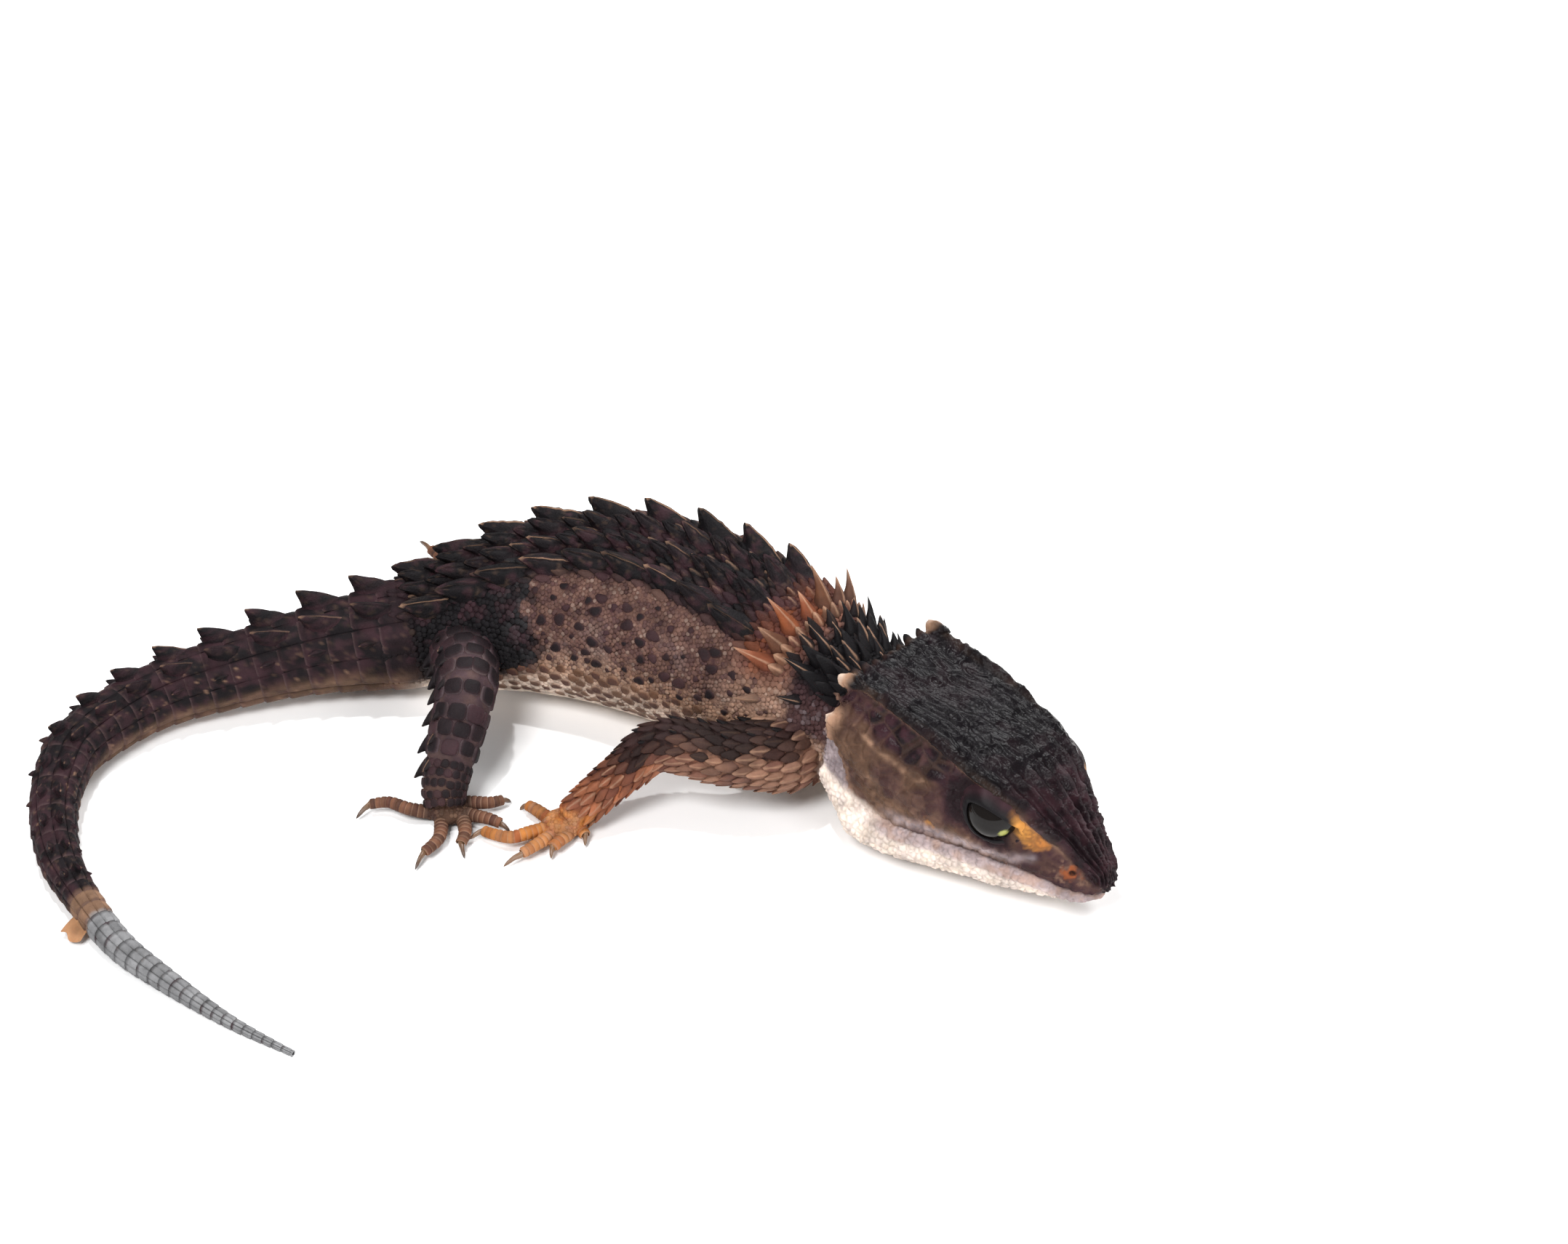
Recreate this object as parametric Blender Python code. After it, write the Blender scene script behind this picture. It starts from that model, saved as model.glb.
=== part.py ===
"""A helmeted skink at life size, resting on its belly with its head turned to the right.

Every size below is in millimetres. The frame has +Z up from the floor, +X towards the snout
side and +Y away from the flank that the viewer sees. The origin is on the floor, under the
middle of the animal.
"""

import math
import random

import bmesh
import bpy
from mathutils import Matrix, Vector

MM = 0.001
GAP = 0.3
WELD = 0.002
UP = Vector((0.0, 0.0, 1.0))

# The body's line, from the tip of the tail to the nape: x, y, z of its middle, half its width
# and half its height. The fifth trunk row is the belly, which carries the animal's weight.
TAIL_LINE = [
    (-21.4, -35.5, 0.25, 0.2, 0.2),
    (-27.4, -31.8, 0.5, 0.52, 0.5),
    (-33.85, -26.85, 0.95, 0.98, 0.98),
    (-38.15, -22.95, 1.22, 1.24, 1.25),
    (-42.45, -16.9, 1.5, 1.52, 1.55),
    (-44.75, -12.7, 1.78, 1.8, 1.83),
    (-46.25, -7.2, 2.03, 2.05, 2.08),
    (-46.4, -2.1, 2.3, 2.3, 2.35),
    (-45.2, 2.4, 2.6, 2.5, 2.65),
    (-39.9, 8.2, 3.0, 2.8, 2.95),
    (-32.8, 11.3, 3.8, 3.2, 3.35),
    (-24.4, 13.6, 4.8, 3.9, 4.05),
]
TRUNK_LINE = [
    (-15.2, 15.0, 5.8, 5.1, 5.1),
    (-9.8, 16.0, 6.4, 6.6, 6.4),
    (-3.4, 16.5, 7.5, 8.3, 7.7),
    (3.4, 15.7, 8.3, 9.5, 8.6),
    (10.0, 13.1, 8.6, 9.8, 8.9),
    (16.2, 9.2, 8.5, 9.4, 8.6),
    (21.4, 5.0, 8.5, 8.3, 8.0),
    (25.6, 1.3, 8.6, 6.6, 6.7),
    (28.6, -1.3, 8.6, 6.0, 6.2),
    (32.0, -4.2, 8.3, 6.3, 6.3),
]
LINE_STEPS = 12
BODY_SQUARENESS = 2.2
TRUNK_SIDES = 20
TAIL_SIDES = 12

# The trunk is parted between its rows of back spines, this far apart along the body.
BACK_PITCH = 4.3
TRUNK_PARTS = {"hips": (0, 3), "belly": (3, 6), "chest": (6, 9)}
NECK_LENGTH = 54.0

# The whorls of scales round the tail, each one a low step that faces the tip. The tail is
# parted between whorls, by their numbers counted from the vent.
WHORL_LENGTH = 2.68
WHORL_SHRINK = 0.65
WHORL_STEP = 0.05
TAIL_PARTS = {
    "tail_root": (0, 6),
    "tail_upper": (6, 12),
    "tail_middle": (12, 22),
    "tail_lower": (22, 31),
    "tail_tip": (31, 50),
}

# The size of a spine: its root's length and width, its height, how far its tip lies behind,
# and the share of its root that is left at half its height.
BACK_SPINE = {"long": 3.8, "wide": 2.4, "tall": 1.7, "lean": 2.1, "waist": 0.74}
TAIL_SPINE = {"long": 4.0, "wide": 1.9, "tall": 2.2, "lean": 1.9, "waist": 0.66}
# The four rows of the back as shares of their spread to the sides, with a scale for each row.
# The spread is so many millimetres over the vent, and grows by a little for each one ahead.
BACK_ROWS = ((-1.0, 1.0), (-0.34, 0.92), (0.34, 0.92), (1.0, 1.0))
BACK_SPREAD = (2.7, 0.06)
# The rows of the tail as angles from its top, with a scale for each row.
TAIL_ROWS = ((-58.0, 0.45), (-19.0, 1.0), (19.0, 1.0), (58.0, 0.45))
TAIL_SPINES_END = 1.5
NAPE_CRESTS = ((41.2, 1.0, (-72.0, -45.0, -15.0, 15.0, 45.0, 72.0)),
               (45.0, 0.8, (-62.0, -38.0, -13.0, 13.0, 38.0, 62.0)),
               (48.2, 0.6, (-50.0, -25.0, 0.0, 25.0, 50.0)))
NAPE_SPINE = {"long": 2.3, "wide": 1.5, "tall": 2.6, "lean": 2.9, "waist": 0.6}
SPINE_SIDES = 5
SINK = 0.7

# The head, in its own frame: forward from the back of the helmet, to the left, and up.
HEAD_AT = Vector((28.5, -1.1, 11.5))
HEAD_YAW = math.radians(-41.3)
HEAD_PITCH = math.radians(-11.0)
HEAD_ROLL = math.radians(-7.0)
HEAD_LENGTH = 27.4
# Share of the head's length; heights of the crown, the ridge, the cheek and the lip; half
# widths of the ridge, the cheek, the lip and the jaw; and the height of the chin.
HEAD_STATIONS = [
    (0.00, 4.5, 4.9, 0.2, -1.2, 6.1, 7.6, 7.1, 6.6, -9.6),
    (0.10, 4.8, 5.1, 0.0, -3.0, 6.2, 8.0, 7.4, 7.4, -10.3),
    (0.20, 5.0, 5.2, -0.3, -5.3, 6.2, 8.1, 7.5, 8.2, -10.8),
    (0.35, 5.1, 5.1, -0.5, -4.9, 6.1, 7.9, 7.4, 7.9, -10.1),
    (0.48, 5.1, 4.9, -0.8, -3.8, 5.8, 7.3, 6.9, 7.1, -9.0),
    (0.60, 5.0, 4.8, -1.1, -3.0, 5.4, 6.6, 6.1, 6.2, -7.9),
    (0.70, 4.3, 3.7, -1.0, -2.8, 4.7, 5.7, 5.3, 5.3, -7.1),
    (0.80, 2.9, 2.0, -1.2, -2.9, 3.55, 4.5, 4.3, 4.2, -6.0),
    (0.90, 1.1, 0.4, -1.4, -3.0, 2.4, 3.2, 3.1, 3.0, -5.0),
    (0.97, -0.3, -0.8, -1.8, -3.0, 1.5, 2.0, 2.0, 1.9, -4.2),
    (1.00, -1.2, -1.4, -2.1, -2.9, 0.8, 1.1, 1.1, 1.0, -3.7),
]
HEAD_SHARES = (0.0, 0.05, 0.1, 0.15, 0.2, 0.28, 0.36, 0.44, 0.52, 0.6, 0.66, 0.72, 0.79, 0.86,
               0.92, 0.96, 0.985, 1.0)
MOUTH_GAPE = 0.3
# The spikes at the back of the helmet: forward, to the side, up, and how tall each one is.
HELMET_SPIKES = ((0.7, 5.9, 4.3, 2.0), (0.6, 4.0, 4.2, 1.1), (0.6, 2.3, 4.1, 1.4),
                 (0.6, 0.8, 4.0, 0.9), (0.8, 7.0, 0.6, 1.7), (0.8, 6.9, 2.7, 1.0))

EYE_AT = (16.8, 4.35, 1.25)
EYE_RADIUS = 2.75
EYE_TURN = math.radians(13.0)
LID_REACH = 1.15
LID_RING = (3.0, 2.1)
LID_THICK = 0.45
NOSTRIL_AT = (25.2, 2.75, -0.95)
NOSTRIL_RADIUS = 0.42
EAR_AT = (2.0, 8.0, -4.7)
EAR_RADIUS = 0.75

# The legs: joints as x, y, z and half thickness from the body to the palm, which one of them
# is the knee, the angle of the edge that bears spines and a scale for them, the palm's middle,
# and each toe as points with the claw's tip last.
LEGS = {
    "hind_right": {
        "joints": [(-10.4, 12.5, 6.2, 3.3), (-9.3, 4.2, 8.0, 2.7), (-10.1, 0.0, 5.5, 2.4),
                   (-11.0, -3.6, 2.7, 2.1), (-11.0, -4.7, 1.5, 1.9)],
        "knee": 1,
        "spiny_edge": -90.0,
        "spines": 1.0,
        "palm": (-10.8, -5.0),
        "toes": [
            [(-8.8, -3.9, 0.7), (-7.0, -4.2, 0.95), (-5.9, -3.6, 0.75), (-5.1, -3.3, 0.3)],
            [(-8.9, -5.5, 0.7), (-6.9, -6.4, 0.95), (-5.8, -6.8, 0.75), (-4.9, -7.5, 0.3)],
            [(-9.3, -6.2, 0.7), (-8.9, -8.3, 0.95), (-9.2, -9.5, 0.75), (-8.8, -11.0, 0.3)],
            [(-11.2, -6.3, 0.7), (-11.2, -9.1, 1.0), (-12.5, -10.8, 0.75), (-13.1, -12.5, 0.3)],
            [(-12.4, -5.2, 0.7), (-14.3, -5.2, 1.1), (-16.2, -4.3, 1.1), (-18.0, -4.4, 0.9),
             (-19.1, -5.6, 0.3)],
        ],
    },
    "hind_left": {
        "joints": [(-10.0, 18.5, 6.0, 3.2), (-9.3, 25.2, 5.7, 2.5), (-10.4, 27.6, 4.1, 2.2),
                   (-11.5, 29.3, 2.6, 1.9), (-11.9, 30.0, 1.5, 1.8)],
        "knee": 1,
        "spiny_edge": 90.0,
        "spines": 1.0,
        "palm": (-12.2, 30.3),
        "toes": [
            [(-10.6, 29.8, 0.7), (-9.2, 30.4, 0.95), (-8.2, 30.2, 0.75), (-7.3, 30.7, 0.3)],
            [(-10.8, 31.2, 0.7), (-9.3, 32.4, 0.95), (-8.5, 32.9, 0.75), (-7.7, 33.6, 0.3)],
            [(-12.0, 31.8, 0.7), (-11.8, 33.2, 0.95), (-11.9, 33.9, 0.75), (-11.6, 34.7, 0.3)],
            [(-13.3, 31.6, 0.7), (-14.5, 33.2, 1.0), (-15.6, 34.5, 1.1), (-16.8, 36.0, 0.95)],
            [(-13.8, 30.4, 0.7), (-14.9, 30.0, 0.95), (-15.7, 29.3, 0.8), (-16.8, 29.0, 0.3)],
        ],
    },
    "fore_right": {
        "joints": [(22.4, 3.0, 6.6, 4.4), (20.6, -2.0, 6.0, 3.9), (15.0, -4.0, 6.7, 2.8),
                   (9.0, -3.4, 7.2, 2.3), (5.7, -4.2, 5.0, 1.9), (1.8, -6.3, 2.4, 1.65),
                   (0.4, -6.9, 1.5, 1.55)],
        "knee": 3,
        "spiny_edge": -25.0,
        "spines": 0.6,
        "palm": (-0.2, -7.0),
        "toes": [
            [(1.5, -7.6, 0.7), (2.0, -8.4, 0.7), (2.0, -9.3, 0.3)],
            [(0.4, -8.2, 0.7), (-0.4, -9.5, 0.9), (-0.9, -10.2, 0.75), (-1.0, -11.0, 0.3)],
            [(-0.9, -8.3, 0.7), (-2.3, -9.9, 0.95), (-3.7, -11.0, 0.75), (-5.2, -12.1, 0.3)],
            [(-1.6, -7.5, 0.7), (-3.1, -8.4, 1.0), (-4.7, -9.0, 1.0), (-6.2, -8.5, 0.9),
             (-7.3, -7.8, 0.75), (-8.5, -8.4, 0.3)],
            [(-1.4, -6.1, 0.7), (-2.7, -5.1, 0.95), (-3.5, -4.3, 0.75), (-4.2, -4.4, 0.3)],
        ],
    },
    "fore_left": {
        "joints": [(17.6, 10.0, 6.4, 3.4), (19.6, 15.6, 6.4, 2.8), (20.9, 19.8, 6.0, 2.4),
                   (21.2, 21.8, 4.2, 2.0), (21.0, 23.1, 2.5, 1.75), (20.9, 23.8, 1.5, 1.6)],
        "knee": 2,
        "spiny_edge": 90.0,
        "spines": 0.6,
        "palm": (20.8, 24.1),
        "toes": [
            [(22.2, 23.4, 0.7), (23.4, 23.2, 0.9), (24.6, 23.5, 0.3)],
            [(22.2, 24.8, 0.7), (23.6, 25.5, 0.95), (24.3, 25.9, 0.75), (25.0, 26.6, 0.3)],
            [(21.4, 25.6, 0.7), (22.2, 27.2, 0.95), (22.6, 28.1, 0.75), (23.0, 29.2, 0.3)],
            [(20.4, 25.7, 0.7), (19.9, 27.5, 0.95), (19.4, 28.7, 0.8), (19.5, 30.0, 0.3)],
            [(19.3, 24.9, 0.7), (17.9, 25.6, 0.95), (17.1, 26.2, 0.75), (16.0, 26.5, 0.3)],
        ],
    },
}
LEG_SIDES = 10
LEG_SPINE = {"long": 1.6, "wide": 1.2, "tall": 0.8, "lean": 1.1, "waist": 0.66}
LEG_PITCH = 1.9
# The loose flake of old skin that stands off the tail where the grey begins.
FLAKE = {"long": 3.2, "wide": 1.0, "tall": 1.5, "lean": 0.3, "waist": 0.8}
FLAKE_AT = 96.0
PALM_SIZE = (2.0, 1.8, 1.15)
TOE_RADIUS = (0.74, 0.47)
TOE_SIDES = 7
CLAW_RADIUS = 0.34

# Colours as the eye sees them in daylight: red, green, blue, then roughness.
SKINS = {
    "charcoal_scales": (0.035, 0.030, 0.034, 0.55),
    "spotted_flank": (0.16, 0.105, 0.085, 0.6),
    "helmet": (0.030, 0.027, 0.028, 0.45),
    "pale_jaw": (0.45, 0.33, 0.27, 0.5),
    "rust_feet": (0.26, 0.11, 0.05, 0.55),
    "grey_tail": (0.22, 0.22, 0.23, 0.6),
    "eye": (0.006, 0.006, 0.006, 0.08),
}


def catmull_rom(rows, steps):
    """Rows between the given ones, on a smooth curve through all of them."""
    padded = [rows[0]] + list(rows) + [rows[-1]]
    found = []
    for k in range(1, len(padded) - 2):
        a, b, c, d = padded[k - 1 : k + 3]
        for step in range(steps):
            t = step / steps
            found.append([
                0.5 * (2 * q + (r - p) * t + (2 * p - 5 * q + 4 * r - s) * t * t
                       + (3 * q - p - 3 * r + s) * t ** 3)
                for p, q, r, s in zip(a, b, c, d)
            ])
    found.append(list(rows[-1]))
    return found


class Line:
    """A smooth line through stations, read by distance along it, with a cross-section."""

    def __init__(self, stations, start=0.0, side=None, squareness=2.0):
        self.rows = catmull_rom(stations, LINE_STEPS)
        self.side = side
        self.squareness = squareness
        self.along = [start]
        for before, after in zip(self.rows, self.rows[1:]):
            step = (Vector(after[:3]) - Vector(before[:3])).length
            self.along.append(self.along[-1] + step)

    def row(self, distance):
        """The station at this distance, between the two rows that lie round it."""
        k = 0
        while k < len(self.rows) - 2 and self.along[k + 1] < distance:
            k += 1
        share = (distance - self.along[k]) / (self.along[k + 1] - self.along[k])
        share = min(max(share, 0.0), 1.0)
        return [a + (b - a) * share for a, b in zip(self.rows[k], self.rows[k + 1])]

    def frame(self, distance):
        """The middle, the forward, left and up directions, and the two half sizes."""
        row = self.row(distance)
        ahead, behind = self.row(distance + 1.0), self.row(distance - 1.0)
        forward = (Vector(ahead[:3]) - Vector(behind[:3])).normalized()
        if self.side:
            left = (self.side - forward * self.side.dot(forward)).normalized()
        else:
            left = UP.cross(forward).normalized()
        return Vector(row[:3]), forward, left, forward.cross(left), row[3], row[-1]

    def skin(self, distance, degrees, grow=0.0):
        """The point of the surface at an angle from the top, positive to the left."""
        middle, _, left, up, wide, high = self.frame(distance)
        angle = math.radians(degrees)
        power = 2.0 / self.squareness
        across = math.copysign(abs(math.sin(angle)) ** power, math.sin(angle))
        rise = math.copysign(abs(math.cos(angle)) ** power, math.cos(angle))
        return middle + left * across * (wide + grow) + up * rise * (high + grow)

    def outward(self, distance, degrees):
        """The direction straight out of the surface at that point."""
        _, forward, _, _, _, _ = self.frame(distance)
        along_skin = self.skin(distance, degrees + 4.0) - self.skin(distance, degrees - 4.0)
        return forward.cross(along_skin).normalized()

    def ring(self, distance, sides, grow=0.0):
        return [self.skin(distance, -360.0 * (k + 0.5) / sides, grow) for k in range(sides)]


def smooth_profile(rows, share):
    """The values of a table of stations at a share of the length, eased between its rows."""
    k = 0
    while k < len(rows) - 2 and rows[k + 1][0] < share:
        k += 1
    first, last = max(k - 1, 0), min(k + 2, len(rows) - 1)
    before, here, there, after = rows[first], rows[k], rows[k + 1], rows[last]
    step = there[0] - here[0]
    t = (share - here[0]) / step
    values = []
    for p, q, r, s in zip(before, here, there, after):
        leave = (r - p) / (there[0] - before[0]) * step
        arrive = (s - q) / (after[0] - here[0]) * step
        values.append(q * (2 * t ** 3 - 3 * t * t + 1) + leave * (t ** 3 - 2 * t * t + t)
                      + r * (3 * t * t - 2 * t ** 3) + arrive * (t ** 3 - t * t))
    return values


def add_object(name, bm, collection):
    """A new object that holds this mesh, with its faces turned outwards."""
    bmesh.ops.recalc_face_normals(bm, faces=bm.faces)
    mesh = bpy.data.meshes.new(name)
    bm.to_mesh(mesh)
    bm.free()
    obj = bpy.data.objects.new(name, mesh)
    collection.objects.link(obj)
    return obj


def loft(name, rings, collection):
    """A closed skin through rings of points in millimetres, with both ends filled."""
    bm = bmesh.new()
    loops = [[bm.verts.new(point * MM) for point in ring] for ring in rings]
    for below, above in zip(loops, loops[1:]):
        for k in range(len(below)):
            after = (k + 1) % len(below)
            bm.faces.new((below[k], below[after], above[after], above[k]))
    bm.faces.new(loops[0])
    bm.faces.new(loops[-1])
    return add_object(name, bm, collection)


def thorn(anchor, backward, outward, sizes, collection, scale=1.0, sink=SINK):
    """A spine that is flattened from side to side and hooked back, its root under the skin."""
    long, wide = sizes["long"] * scale, sizes["wide"] * scale
    tall, lean = sizes["tall"] * scale, sizes["lean"] * scale
    backward = (backward - outward * backward.dot(outward)).normalized()
    across = backward.cross(outward)
    bm = bmesh.new()
    levels = []
    for height, share, shift in ((-sink, 1.0, 0.0), (tall * 0.5, sizes["waist"], lean * 0.36)):
        ring = []
        for k in range(SPINE_SIDES):
            angle = math.tau * k / SPINE_SIDES
            reach = backward * (shift - math.cos(angle) * long * share / 2)
            ring.append(bm.verts.new(
                (anchor + reach + across * math.sin(angle) * wide * share / 2
                 + outward * height) * MM))
        levels.append(ring)
    tip = bm.verts.new((anchor + backward * lean + outward * tall) * MM)
    for k in range(SPINE_SIDES):
        after = (k + 1) % SPINE_SIDES
        bm.faces.new((levels[0][k], levels[0][after], levels[1][after], levels[1][k]))
        bm.faces.new((levels[1][k], levels[1][after], tip))
    bm.faces.new(levels[0])
    return add_object("thorn", bm, collection)


def ball(centre, radii, turn, collection, segments=12, rings=8):
    """A sphere or an ellipsoid in millimetres, turned by a rotation matrix."""
    bm = bmesh.new()
    bmesh.ops.create_uvsphere(bm, u_segments=segments, v_segments=rings, radius=MM)
    shape = Matrix.Translation(Vector(centre) * MM) @ turn.to_4x4() @ Matrix.Diagonal((*radii, 1.0))
    bmesh.ops.transform(bm, matrix=shape, verts=bm.verts)
    return add_object("ball", bm, collection)


def tube(points, radii, sides, collection):
    """A closed tube through points, with its own radius at each one."""
    rings = []
    for k, point in enumerate(points):
        ahead = points[min(k + 1, len(points) - 1)]
        behind = points[max(k - 1, 0)]
        forward = (ahead - behind).normalized()
        left = UP.cross(forward).normalized()
        up = forward.cross(left)
        rings.append([
            point + (left * math.sin(math.tau * j / sides) + up * math.cos(math.tau * j / sides))
            * radii[k]
            for j in range(sides)
        ])
    return loft("tube", rings, collection)


def evaluated_mesh(obj):
    bpy.context.view_layer.update()
    graph = bpy.context.evaluated_depsgraph_get()
    return bpy.data.meshes.new_from_object(obj.evaluated_get(graph))


def combine(obj, pieces, operation):
    """Joins or cuts an object with closed pieces in one Boolean, then removes the pieces."""
    gathered = bpy.data.collections.new("pieces")
    bpy.context.scene.collection.children.link(gathered)
    for piece in pieces:
        for home in list(piece.users_collection):
            home.objects.unlink(piece)
        gathered.objects.link(piece)
    boolean = obj.modifiers.new(operation.lower(), "BOOLEAN")
    boolean.operation = operation
    boolean.operand_type = "COLLECTION"
    boolean.collection = gathered
    boolean.solver = "MANIFOLD"
    mesh = evaluated_mesh(obj)
    obj.modifiers.clear()
    obj.data = mesh
    for piece in pieces:
        bpy.data.objects.remove(piece)
    bpy.data.collections.remove(gathered)
    return obj


def cut_by(obj, cutter):
    """Takes a kept cutter's shape out of an object."""
    boolean = obj.modifiers.new("cut", "BOOLEAN")
    boolean.operation = "DIFFERENCE"
    boolean.object = cutter
    boolean.solver = "MANIFOLD"
    mesh = evaluated_mesh(obj)
    obj.modifiers.clear()
    obj.data = mesh
    return obj


def slice_off(obj, point, normal):
    """Cuts away all that lies past a plane, and closes the cut with flat faces."""
    bm = bmesh.new()
    bm.from_mesh(obj.data)
    everything = list(bm.verts) + list(bm.edges) + list(bm.faces)
    bmesh.ops.bisect_plane(bm, geom=everything, plane_co=point * MM, plane_no=normal,
                           dist=1e-7, clear_outer=True)
    rim = [edge for edge in bm.edges if edge.is_boundary]
    bmesh.ops.holes_fill(bm, edges=rim, sides=0)
    bmesh.ops.recalc_face_normals(bm, faces=bm.faces)
    bm.to_mesh(obj.data)
    bm.free()
    return obj


def keep_largest(obj):
    """Keeps the largest closed surface of a mesh, so that no loose scrap is left."""
    bm = bmesh.new()
    bm.from_mesh(obj.data)
    left, islands = set(bm.verts), []
    while left:
        island, waiting = set(), [next(iter(left))]
        while waiting:
            vert = waiting.pop()
            if vert not in island:
                island.add(vert)
                waiting.extend(edge.other_vert(vert) for edge in vert.link_edges)
        islands.append(island)
        left -= island
    largest = max(islands, key=len)
    scraps = [vert for vert in bm.verts if vert not in largest]
    bmesh.ops.delete(bm, geom=scraps, context="VERTS")
    bmesh.ops.remove_doubles(bm, verts=bm.verts, dist=WELD * MM)
    bm.to_mesh(obj.data)
    bm.free()
    return obj


def paint(obj, skin):
    """Gives the object its own material and smooth shading."""
    red, green, blue, roughness = SKINS[skin]
    material = bpy.data.materials.new(obj.name)
    material.use_nodes = True
    shader = material.node_tree.nodes["Principled BSDF"]
    shader.inputs["Base Color"].default_value = (red, green, blue, 1.0)
    shader.inputs["Roughness"].default_value = roughness
    shader.inputs["Metallic"].default_value = 0.0
    material.diffuse_color = (red, green, blue, 1.0)
    obj.data.materials.clear()
    obj.data.materials.append(material)
    for polygon in obj.data.polygons:
        polygon.use_smooth = True
    return obj


def finish_node(obj, skin):
    """Stands a node on the floor, drops scraps and paints it."""
    slice_off(obj, Vector((0.0, 0.0, 0.0)), -UP)
    keep_largest(obj)
    return paint(obj, skin)


def whorl_edges(tip):
    """Distances of the edges between whorls, from the vent back to the tip of the tail."""
    edges = [0.0]
    while edges[-1] > tip:
        share = edges[-1] / tip
        edges.append(edges[-1] - WHORL_LENGTH * (1.0 - WHORL_SHRINK * share))
    edges[-1] = tip
    return edges


def tail_length(name, body, edges, collection):
    """One length of the tail: stepped whorls, with a ring of spines on every second one."""
    first, last = TAIL_PARTS[name]
    mine = edges[first : last + 1]
    mine[0] -= GAP / 2
    if last < len(edges) - 1:
        mine[-1] += GAP / 2
    rings = []
    for high, low in zip(mine, mine[1:]):
        wide = body.frame(low)[4]
        rings.append(body.ring(high - (0.12 if rings else 0.0), TAIL_SIDES,
                               -wide * WHORL_STEP * 0.4))
        rings.append(body.ring(low, TAIL_SIDES, wide * WHORL_STEP * 0.6))
    core = loft(name, rings, collection)
    pieces = []
    for number, (high, low) in enumerate(zip(mine, mine[1:])):
        wide = body.frame(low)[4]
        if number % 2 == 0 or wide < TAIL_SPINES_END:
            continue
        for degrees, share in TAIL_ROWS:
            scale = share * min(1.0, wide / 3.6)
            at = low + TAIL_SPINE["long"] * scale * 0.5 + 0.45
            _, forward, _, _, _, _ = body.frame(at)
            pieces.append(thorn(body.skin(at, degrees), -forward, body.outward(at, degrees),
                                TAIL_SPINE, collection, scale, SINK * scale))
    if name == "tail_lower":
        at = mine[-1] + 2.0
        _, forward, _, _, _, _ = body.frame(at)
        pieces.append(thorn(body.skin(at, FLAKE_AT), -forward, body.outward(at, FLAKE_AT),
                            FLAKE, collection))
    return combine(core, pieces, "UNION") if pieces else core


def back_angle(body, at, share):
    """The angle from the top at which a row of the back runs at this distance."""
    across = abs(share) * (BACK_SPREAD[0] + BACK_SPREAD[1] * at) / body.frame(at)[4]
    return math.copysign(math.degrees(math.asin(across ** (BODY_SQUARENESS / 2))), share)


def trunk_length(name, body, rng, collection):
    """One length of the trunk with the spines of its back."""
    first, last = TRUNK_PARTS[name]
    low, high = first * BACK_PITCH + GAP / 2, last * BACK_PITCH - GAP / 2
    count = max(4, round((high - low) / 2.4))
    rings = [body.ring(low + (high - low) * k / count, TRUNK_SIDES) for k in range(count + 1)]
    core = loft(name, rings, collection)
    pieces = []
    for number in range(first, last):
        at = (number + 0.5) * BACK_PITCH
        _, forward, _, _, _, _ = body.frame(at)
        for row, share in BACK_ROWS:
            degrees = back_angle(body, at, row)
            scale = share * rng.uniform(0.94, 1.04)
            pieces.append(thorn(body.skin(at, degrees), -forward, body.outward(at, degrees),
                                BACK_SPINE, collection, scale))
    return combine(core, pieces, "UNION")


def neck_length(body, head, rng, collection):
    """The neck, cut square to the head, with the crests of spines across the nape."""
    low = TRUNK_PARTS["chest"][1] * BACK_PITCH + GAP / 2
    rings = [body.ring(low + (NECK_LENGTH - low) * k / 6, TRUNK_SIDES) for k in range(7)]
    core = loft("neck", rings, collection)
    pieces = []
    for distance, size, rows in NAPE_CRESTS:
        _, forward, _, _, _, _ = body.frame(distance)
        for degrees in rows:
            scale = size * rng.uniform(0.92, 1.05)
            pieces.append(thorn(body.skin(distance, degrees), -forward,
                                body.outward(distance, degrees), NAPE_SPINE, collection, scale))
    combine(core, pieces, "UNION")
    forward, _, _ = head_directions(head)
    return slice_off(core, HEAD_AT - forward * GAP, forward)


def head_matrix():
    """The head's own frame: forward, left and up, turned, lowered and tilted."""
    turn = (Matrix.Rotation(HEAD_YAW, 3, "Z") @ Matrix.Rotation(-HEAD_PITCH, 3, "Y")
            @ Matrix.Rotation(HEAD_ROLL, 3, "X"))
    return Matrix.Translation(HEAD_AT) @ turn.to_4x4()


def head_directions(head):
    turn = head.to_3x3()
    return [turn @ Vector(axis) for axis in ((1, 0, 0), (0, 1, 0), (0, 0, 1))]


def mirror_across(points):
    """The right half of a section after its left half, from top to bottom and back."""
    return points + [(-across, rise) for across, rise in reversed(points[1:-1])]


def skull_section(share, head):
    """A ring round the upper head, from the middle of the crown to the palate and back."""
    values = smooth_profile(HEAD_STATIONS, share)
    _, crown, ridge, cheek, lip, ridge_wide, cheek_wide, lip_wide, _, _ = values
    half = [
        (0.0, crown),
        (ridge_wide * 0.5, crown),
        (ridge_wide * 0.86, ridge * 0.75 + crown * 0.25),
        (ridge_wide, ridge),
        (ridge_wide * 1.02, ridge - 0.7),
        (ridge_wide * 0.4 + cheek_wide * 0.58, ridge * 0.42 + cheek * 0.58),
        (cheek_wide, cheek),
        (cheek_wide * 0.5 + lip_wide * 0.5, cheek * 0.5 + lip * 0.5),
        (lip_wide - 0.12, lip + 0.7),
        (lip_wide, lip + 0.25),
        (lip_wide - 0.45, lip),
        (0.0, lip),
    ]
    forward = share * HEAD_LENGTH
    return [head @ Vector((forward, across, rise)) for across, rise in mirror_across(half)]


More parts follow.
